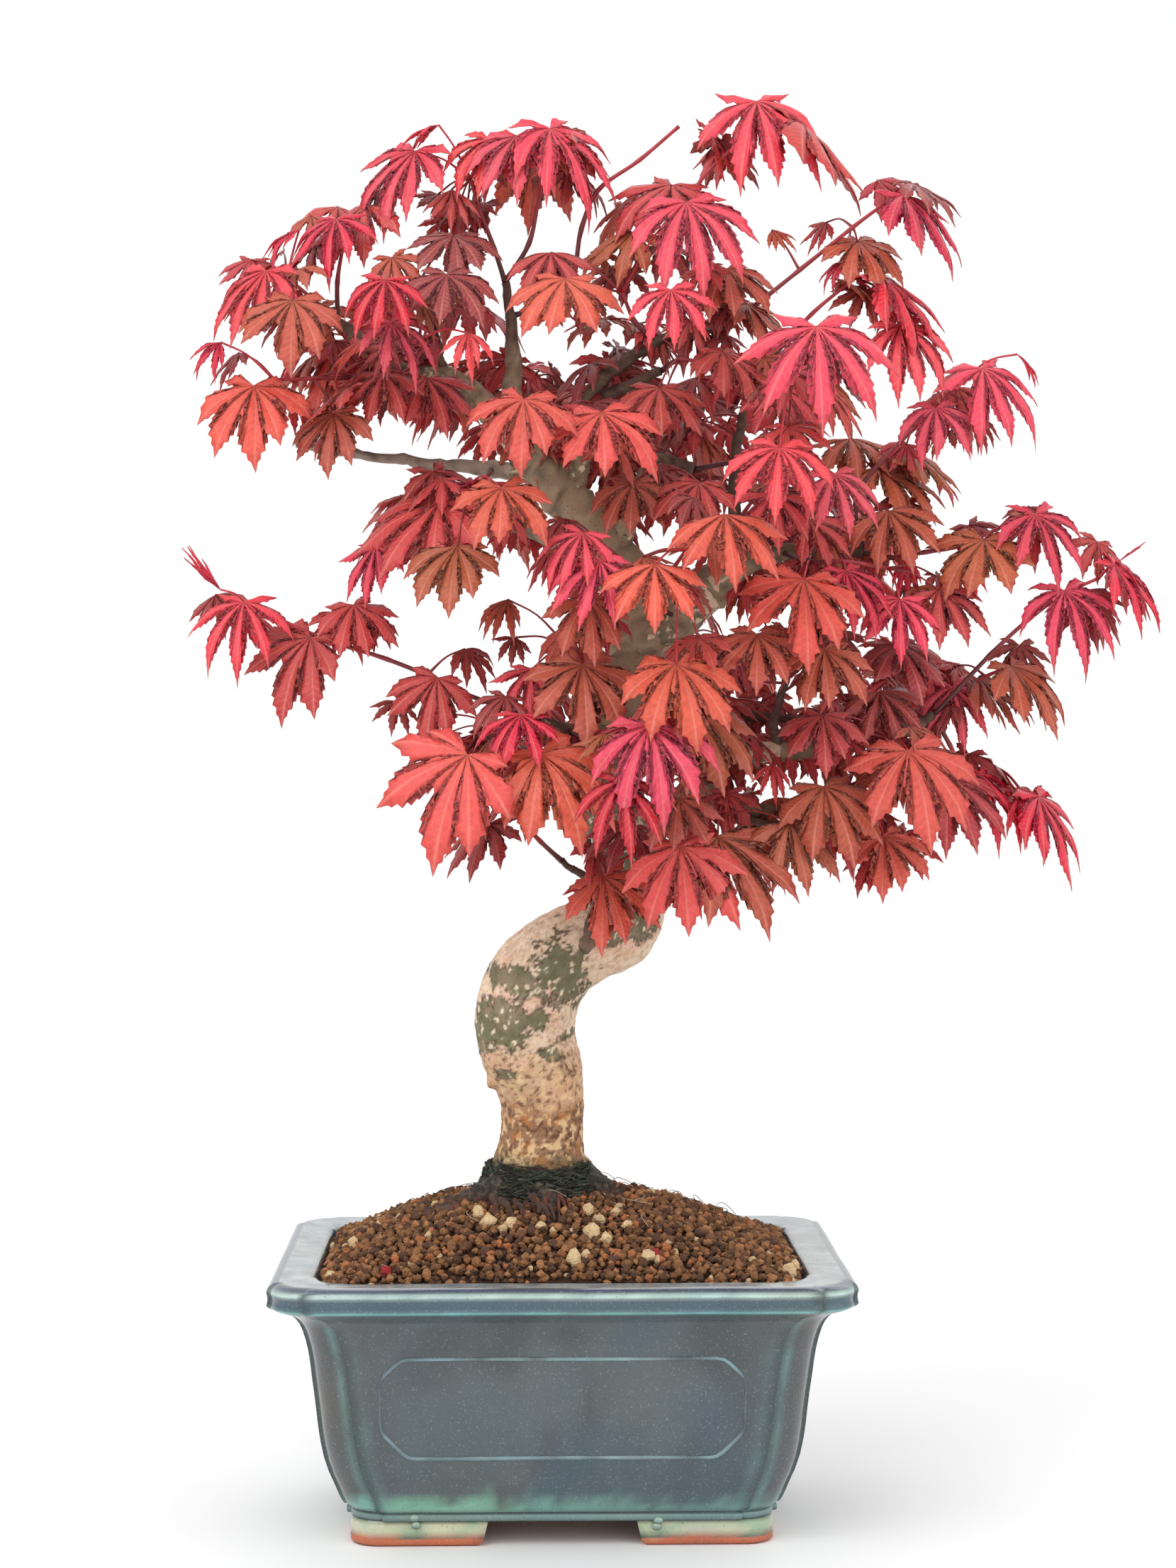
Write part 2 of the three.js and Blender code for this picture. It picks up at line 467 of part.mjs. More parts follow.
function fill(low, high) {
  return flaredBlock([[low, cavityInsetAt(low)], ...loosenedCavity(low, high), [high, cavityInsetAt(high)]]);
}

function makeGravel() {
  let gravel = solid(fill(floorTop + gap, gravelTop));
  for (const x of [-drainHoleX, drainHoleX]) {
    const clear = screenSize + 2 * gap;
    const screenRoom = box(clear, clear, 2 * (screenThickness + gap), x, 0, floorTop + gap);
    const bridge = 2 * (screenPitch + clipWireRadius + gap);
    const bridgeRoom = box(bridge, 4 * clipWireRadius, 8, x, 0, floorTop);
    gravel = gravel.subtract(solid(screenRoom)).subtract(solid(bridgeRoom));
  }
  return gravel;
}

function soilHeight(x, y) {
  const alongX = 1 - Math.min(Math.abs(x) / 90, 1) ** 2.6;
  const alongY = 1 - Math.min(Math.abs(y) / 66, 1) ** 2.2;
  return soilEdge + soilRise * alongX * alongY;
}

function makeSoil(woodRoom) {
  const columns = 10;
  const rows = 8;
  const block = new THREE.BoxGeometry(184, 136, 2, columns, rows, 1);
  const position = block.attributes.position;
  for (let i = 0; i < position.count; i += 1) {
    const x = position.getX(i);
    const y = position.getY(i);
    const crumble = 1.6 * (vary(Math.round(x * 3) + Math.round(y * 7)) - 0.5);
    const top = soilHeight(x, y) + crumble;
    position.setZ(i, position.getZ(i) > 0 ? top : gravelTop + gap);
  }
  const within = solid(flaredBlock([[gravelTop + gap, cavityInsetAt(gravelTop + gap)],
    ...loosenedCavity(gravelTop + gap, potHeight + 2), [potHeight + 41, 16.5 + gap]]));
  return solid(block).intersect(within).subtract(woodRoom);
}

// ---------------------------------------------------------------- tree
// A table's stations, carried up or down with the rim.
const lifted = (stations) => stations.map(([x, y, z, ...rest]) => [x, y, z + treeLift, ...rest]);

function makeWood(extra = 0) {
  const limbs = [limb(lifted(trunk), 10, 1, extra), limb(lifted(knob), 6, 1, extra)];
  roots.forEach((root) => limbs.push(limb(lifted(root), 6, 1, extra)));
  branches.forEach((branch) => limbs.push(limb(lifted(branch), 4, 1, extra)));
  return joined(limbs);
}

const woodStations = lifted([trunk, ...branches].flat());

// Directions of a blade: its outward normal, its middle lobe and its right-hand side.
function bladeFrame(face, lift, turn) {
  const normal = new THREE.Vector3(
    Math.cos(radians(lift)) * Math.cos(radians(face)),
    Math.cos(radians(lift)) * Math.sin(radians(face)),
    Math.sin(radians(lift)),
  );
  const hang = down.clone().addScaledVector(normal, -down.dot(normal)).normalize();
  const right = normal.clone().cross(hang);
  const swing = radians(turn);
  const midrib = hang.clone().multiplyScalar(Math.cos(swing)).addScaledVector(right, Math.sin(swing));
  return { normal, midrib, right: normal.clone().cross(midrib), sag: Math.abs(turn) > 90 ? 0 : leafSag };
}

// Walks out over the blade from the stalk; the path bends towards the ground as it goes.
function bladePoint(frame, degrees, reach, size) {
  const start = frame.midrib.clone().multiplyScalar(Math.cos(radians(degrees)))
    .addScaledVector(frame.right, Math.sin(radians(degrees)));
  const steps = 4;
  const point = new THREE.Vector3();
  for (let k = 0; k < steps; k += 1) {
    const heading = start.clone().lerp(down, frame.sag * reach * (k + 0.5) / steps).normalize();
    point.addScaledVector(heading, size * reach / steps);
  }
  return point;
}

// One blade: a flat star carried over onto the drooping surface. Room above zero thickens it all
// round, which gives the space that its neighbours keep out of.
function bladeBody([x, y, z, face, lift, turn, size], room = 0) {
  const outline = bladeOutline.map(([degrees, reach]) => new THREE.Vector2(
    Math.sin(radians(degrees)) * reach, Math.cos(radians(degrees)) * reach,
  ));
  outline.push(new THREE.Vector2(0, notchBack));
  const star = new THREE.ExtrudeGeometry(new THREE.Shape(outline), { depth: 1, bevelEnabled: false });
  const frame = bladeFrame(face, lift, turn);
  const base = new THREE.Vector3(x, y, z);
  const position = star.attributes.position;
  for (let i = 0; i < position.count; i += 1) {
    const u = position.getX(i);
    const v = position.getY(i);
    const degrees = THREE.MathUtils.radToDeg(Math.atan2(u, v));
    const point = bladePoint(frame, degrees, Math.hypot(u, v), size).add(base)
      .addScaledVector(frame.normal, -position.getZ(i) * (leafThickness + 2 * room) + room);
    position.setXYZ(i, point.x, point.y, point.z);
  }
  return star;
}

// A leaf's stalk, from the shoot's stem to just inside the blade.
function stalkBody([x, y, z, face, lift, turn, size], fork, sides, extra = 0) {
  const frame = bladeFrame(face, lift, turn);
  const end = new THREE.Vector3(x, y, z).addScaledVector(frame.midrib, stalkInside * size)
    .addScaledVector(frame.normal, -leafThickness / 2);
  const radius = leafStalkRadius + extra;
  return limb([[...fork, radius], [end.x, end.y, end.z, radius]], sides, 1, extra);
}

const distance = ([x, y, z], [u, v, w]) => Math.hypot(u - x, v - y, w - z);

// The point of a list nearest to another point.
const nearest = (points, to) => points.reduce((best, point) => (
  distance(point, to) < distance(best, to) ? point : best));

const forkOf = (shoot, leaf) => nearest(shoot.stem, leaf);

function stemBody({ stem }, extra = 0) {
  const root = nearest(woodStations, stem[0]).slice(0, 3);
  const line = [root, ...stem];
  const stations = line.map((point, k) => [...point, stemRadius * (1 - 0.35 * k / (line.length - 1))]);
  return limb(stations, 4, 1, extra);
}

// The space that a shoot's stem and leaf stalks keep clear of other shoots.
function stalkRoom(shoot) {
  const stalks = shoot.leaves.map((leaf) => stalkBody(leaf, forkOf(shoot, leaf), 4, 1.5 * gap));
  return joined([stemBody(shoot, gap), ...stalks]);
}

// A shoot at the back: its leaves fan out around the fork and face away from the trunk.
function rearShoot(fork, index) {
  const [x, y, z] = fork;
  const outward = THREE.MathUtils.radToDeg(Math.atan2(y, x - 20));
  const leaves = [];
  for (let k = 0; k < leavesPerRearFork; k += 1) {
    const seed = index * 7 + k + 1;
    const face = outward + (k - 1.5) * 46 + 16 * (vary(seed) - 0.5);
    leaves.push([
      x + rearStalkReach * Math.cos(radians(face)),
      y + rearStalkReach * Math.sin(radians(face)),
      z + 14 * (vary(seed + 0.3) - 0.35),
      face,
      40 + 18 * vary(seed + 0.5),
      40 * (vary(seed + 0.7) - 0.5),
      29 + 11 * vary(seed + 0.9),
      1 + Math.floor(4 * vary(seed + 0.2)),
    ]);
  }
  return { stem: [fork], leaves };
}

// Keeps the largest connected body of a surface, so that no crumb is left floating.
function largestBody(geometry) {
  const index = geometry.index.array;
  const owner = Array.from({ length: geometry.attributes.position.count }, (_, k) => k);
  const find = (k) => {
    let root = k;
    while (owner[root] !== root) root = owner[root];
    owner[k] = root;
    return root;
  };
  for (let t = 0; t < index.length; t += 3) {
    owner[find(index[t + 1])] = find(index[t]);
    owner[find(index[t + 2])] = find(index[t]);
  }
  const volumes = new Map();
  const [a, b, c] = [new THREE.Vector3(), new THREE.Vector3(), new THREE.Vector3()];
  const position = geometry.attributes.position;
  for (let t = 0; t < index.length; t += 3) {
    a.fromBufferAttribute(position, index[t]);
    b.fromBufferAttribute(position, index[t + 1]);
    c.fromBufferAttribute(position, index[t + 2]);
    const key = find(index[t]);
    volumes.set(key, (volumes.get(key) ?? 0) + a.dot(b.cross(c)) / 6);
  }
  const [largest] = [...volumes].reduce((best, entry) => (entry[1] > best[1] ? entry : best));
  const kept = [];
  for (let t = 0; t < index.length; t += 3) {
    if (find(index[t]) === largest) kept.push(index[t], index[t + 1], index[t + 2]);
  }
  const body = geometry.clone();
  body.setIndex(kept);
  return body;
}

function touching(boxA, boxB) {
  return boxA.intersectsBox(boxB);
}

function boundsOf(body) {
  const geometry = surface(body);
  geometry.computeBoundingBox();
  return geometry.boundingBox;
}

// ---------------------------------------------------------------- the group
const bonsai = new THREE.Group();

function place(name, geometry, color, roughness, metalness = 0) {
  const mesh = new THREE.Mesh(geometry, new THREE.MeshStandardMaterial({ color, roughness, metalness }));
  mesh.name = name;
  bonsai.add(mesh);
}

place('pot', surface(makePot()), 0x5d6f78, 0.3);
[-drainHoleX, drainHoleX].forEach((x, k) => {
  const side = ['left', 'right'][k];
  place(`drain_screen_${side}`, surface(makeScreen(x)), 0x25282a, 0.6);
  place(`screen_clip_${side}`, surface(makeClip(x)), 0xa8aaab, 0.35, 1);
});
place('gravel', surface(makeGravel()), 0xcdbf9f, 0.95);

const wood = makeWood();
const woodRoom = makeWood(gap);
place('soil', largestBody(surface(makeSoil(woodRoom))), 0x6a4631, 0.95);
place('trunk', surface(wood), 0xbfa88a, 0.8);

const allShoots = [...shoots, ...rearForks.map(rearShoot)]
  .map(({ stem, leaves }) => ({ stem: lifted(stem), leaves: lifted(leaves) }));
const stalkRooms = allShoots.map(stalkRoom);
const stalkBounds = stalkRooms.map(boundsOf);
const bladeRooms = allShoots.map(({ leaves }) => joined(leaves.map((leaf) => bladeBody(leaf, gap))));
const bladeBounds = bladeRooms.map(boundsOf);
allShoots.forEach((shoot, index) => {
  // Leaves give way to every other shoot's stalks and to the blades placed before them.
  let leaves = joined(shoot.leaves.flatMap((leaf) => [
    bladeBody(leaf), stalkBody(leaf, forkOf(shoot, leaf), 3),
  ]));
  const reach = boundsOf(leaves);
  for (let other = 0; other < allShoots.length; other += 1) {
    if (other !== index && touching(reach, stalkBounds[other])) leaves = cut(leaves, stalkRooms[other]);
    if (other < index && touching(reach, bladeBounds[other])) {
      const room = bladeRooms[other].subtract(stalkRooms[index]);
      leaves = cut(leaves, room);
      room.delete();
    }
  }
  let stem = solid(stemBody(shoot));
  for (let other = 0; other < index; other += 1) {
    if (touching(stalkBounds[index], stalkBounds[other])) stem = cut(stem, stalkRooms[other]);
  }
  const whole = cut(join(stem, leaves), woodRoom);
  const tone = leafColours[shoot.leaves[0][7]];
  place(`shoot_${String(index + 1).padStart(2, '0')}`, largestBody(surface(whole)), tone, 0.55);
});

// The origin: on the ground, under the middle of the whole tree.
const extent = new THREE.Box3().setFromObject(bonsai);
bonsai.position.set(-(extent.min.x + extent.max.x) / 2, -(extent.min.y + extent.max.y) / 2, -extent.min.z);

export default bonsai;
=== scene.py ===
import json
import math

import bmesh
import bpy
import numpy as np
from mathutils import Euler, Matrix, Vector, noise


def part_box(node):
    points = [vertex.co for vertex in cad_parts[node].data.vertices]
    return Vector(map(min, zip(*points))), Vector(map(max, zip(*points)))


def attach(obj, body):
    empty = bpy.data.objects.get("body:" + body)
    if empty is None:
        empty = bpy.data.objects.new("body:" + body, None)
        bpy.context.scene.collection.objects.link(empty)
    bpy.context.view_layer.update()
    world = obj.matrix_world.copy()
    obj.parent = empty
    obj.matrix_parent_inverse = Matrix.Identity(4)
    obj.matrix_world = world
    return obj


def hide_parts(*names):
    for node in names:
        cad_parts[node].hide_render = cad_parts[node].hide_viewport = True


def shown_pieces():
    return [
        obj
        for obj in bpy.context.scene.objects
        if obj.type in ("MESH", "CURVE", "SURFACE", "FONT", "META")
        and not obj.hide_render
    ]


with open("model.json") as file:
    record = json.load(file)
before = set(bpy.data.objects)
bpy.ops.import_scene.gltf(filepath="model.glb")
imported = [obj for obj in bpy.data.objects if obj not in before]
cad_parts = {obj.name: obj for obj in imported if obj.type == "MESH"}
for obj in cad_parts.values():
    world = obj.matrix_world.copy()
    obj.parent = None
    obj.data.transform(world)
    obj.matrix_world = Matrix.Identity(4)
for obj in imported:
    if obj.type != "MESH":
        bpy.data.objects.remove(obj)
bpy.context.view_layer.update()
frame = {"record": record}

MM = 0.001
pot_low, pot_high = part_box("pot")
POT_CENTRE = np.array([(pot_low.x + pot_high.x) / 2, (pot_low.y + pot_high.y) / 2, pot_low.z])
POT_LENGTH = (pot_high.x - pot_low.x) / MM
POT_DEPTH = (pot_high.y - pot_low.y) / MM


def add_object(name, data):
    made = bpy.data.objects.new(name, data)
    bpy.context.scene.collection.objects.link(made)
    return made


# ---------------------------------------------------------------- camera
# It stands in front of the tree, a little above its middle and a little left of the pot's middle.
CAMERA_AT = np.array([-15.0, -1115.0, 297.6])
CAMERA_LENS = 67.15
CAMERA_PITCH_DOWN = 1.055
CAMERA_TURN_RIGHT = 1.31

camera_data = bpy.data.cameras.new("camera")
camera_data.sensor_fit = "VERTICAL"
camera_data.sensor_height = 36
camera_data.lens = CAMERA_LENS
camera = add_object("camera", camera_data)
camera.location = POT_CENTRE + CAMERA_AT * MM
camera.rotation_euler = Euler(
    (math.radians(90 - CAMERA_PITCH_DOWN), 0, math.radians(-CAMERA_TURN_RIGHT)))
bpy.context.scene.camera = camera

# ---------------------------------------------------------------- the tree's own tables
# Each limb is a list of stations [x, y, z, radius], thick end first.
TRUNK = [
  [-8, 0, 82, 15], [-8, 0, 96, 21], [-8, 0, 112, 21.5], [-8.5, 0, 124, 20], [-8, 0, 134, 17.6],
  [-7, 0, 146, 16], [-7, 0, 157, 16.3], [-9, 0, 168, 18], [-12.5, -1, 179, 19], [-13, -2, 190, 19.3],
  [-9.5, -3, 201, 19], [-1, -4, 211, 17.5], [10, -4, 217.5, 16], [21, -3, 222, 15.5],
  [26.5, -1, 231, 14.5], [25, 0, 244, 14], [20, 2, 262, 14], [17, 3, 282, 13.5], [20, 3, 300, 12.5],
  [27, 3, 318, 11.5], [30, 4, 336, 10.5], [25, 4, 356, 10], [13, 3, 374, 9.5], [0, 2, 388, 8.5],
  [-12, 1, 403, 7], [-18, 0, 420, 4.6], [-18, 0, 438, 3], [-19, 1, 455, 2], [-21, 1, 468, 1.4],
]
KNOB = [[-12, -2, 166, 8], [-22, -3, 165.5, 6], [-28, -3, 165.5, 4]]
ROOTS = [
  [[-12, -4, 130, 13], [-24, -9, 121, 9], [-40, -14, 115, 6], [-60, -18, 108, 4], [-74, -20, 101, 2.5]],
  [[-8, -6, 128, 12], [-6, -20, 118, 9], [-2, -36, 109, 6], [4, -50, 100, 3.5]],
  [[-2, 0, 130, 12], [14, -4, 122, 8], [32, -8, 115, 5], [52, -14, 106, 3]],
  [[-10, 6, 128, 12], [-16, 22, 118, 8], [-26, 38, 108, 5], [-34, 48, 99, 3]],
  [[-2, 6, 128, 11], [10, 22, 118, 8], [24, 36, 107, 5], [34, 46, 98, 3]],
]
BRANCHES = [
  # a short stub that rises in front of the first bend, with its side twig
  [[9, -10, 213, 4], [9.5, -21, 218, 2.6], [12, -24, 228, 2.3], [14, -25, 238, 2.2], [13, -24, 249, 1.5],
    [10, -23, 257, 1]],
  [[14, -25, 239, 1.9], [9, -26, 243, 1.5], [4, -27, 246, 1.3], [0, -28, 249, 1]],
  # lower right limb and its fork
  [[24, 0, 258, 8], [38, -10, 265, 6], [52, -14, 273, 5.5], [63, -14, 269, 4], [78, -15, 267, 2.6],
    [92, -16, 267, 2.2], [108, -16, 270, 1.6]],
  [[60, -14, 269, 3.5], [74, -20, 262, 2.4], [90, -23, 261, 2.2], [112, -25, 261, 1.8]],
  # long middle right limb and what rises from it
  [[22, 2, 286, 7], [42, 0, 292, 5], [64, -4, 290, 4], [84, -6, 289, 3.6], [102, -8, 292, 2.8],
    [120, -9, 296, 2.6], [135, -10, 299, 2.6], [141, -10, 303, 1.8]],
  [[83, -6, 290, 2.4], [81, -7, 300, 1.8], [84, -8, 312, 1.4], [87, -9, 322, 1.1]],
  [[40, 0, 293, 3.4], [56, 6, 300, 2.6], [74, 8, 303, 2], [92, 8, 301, 1.4]],
  # upper right limb
  [[30, 2, 330, 8], [45, -2, 340, 7], [58, -4, 350, 6], [70, -5, 361, 4.5], [84, -6, 365, 3],
    [100, -6, 365, 2], [114, -6, 365, 1.8]],
  [[60, -4, 352, 4], [66, 2, 375, 2.6], [67, 4, 400, 2.2], [69, 4, 414, 1.8], [71, 3, 424, 1.2]],
  # the crown's middle
  [[20, 3, 366, 6], [28, -4, 384, 4], [37, -8, 399, 3], [50, -10, 396, 2]],
  [[3, 2, 384, 5], [8, -2, 400, 3.2], [9, -3, 417, 3], [15, -4, 430, 2.8], [26, -5, 438, 2.2],
    [36, -6, 444, 1.8], [46, -6, 449, 1.2]],
  [[11, -3, 422, 2.4], [24, -8, 427, 2.2], [38, -12, 433, 1.6]],
  # upper left limb, its spur, and the bare grey twig below it
  [[-12, 0, 402, 6], [-28, -4, 420, 4.6], [-42, -6, 431, 3.6], [-56, -7, 432, 3.2], [-68, -8, 437, 3],
    [-77, -8, 446, 2.6], [-84, -8, 452, 1.6]],
  [[-44, -6, 431, 2.8], [-47, -4, 441, 2.4], [-48, -2, 452, 1.6]],
  [[-6, 2, 394, 4], [-26, 0, 397, 3], [-46, -2, 398, 2.4], [-60, -3, 400, 1.9], [-78, -4, 402, 1.7],
    [-92, -5, 404, 1.5], [-100, -5, 406, 1.2]],
  # the spur that carries the long lower left shoot
  [[14, 0, 296, 5], [2, -10, 298, 2.4], [-8, -16, 301, 1.8]],
  # limbs that fill the back
  [[22, 8, 302, 7], [30, 30, 312, 4.5], [40, 55, 322, 3], [48, 78, 330, 1.8]],
  [[20, 6, 362, 6], [0, 34, 372, 4], [-22, 58, 380, 2.4], [-38, 74, 384, 1.6]],
  [[28, 6, 340, 6], [52, 30, 356, 4], [78, 52, 368, 2.6], [98, 66, 372, 1.6]],
  [[-6, 4, 394, 5], [-10, 30, 412, 3.4], [-12, 52, 428, 2.2]],
  [[20, 6, 270, 6], [10, 34, 280, 4], [-8, 60, 288, 2.4], [-20, 74, 290, 1.6]],
]

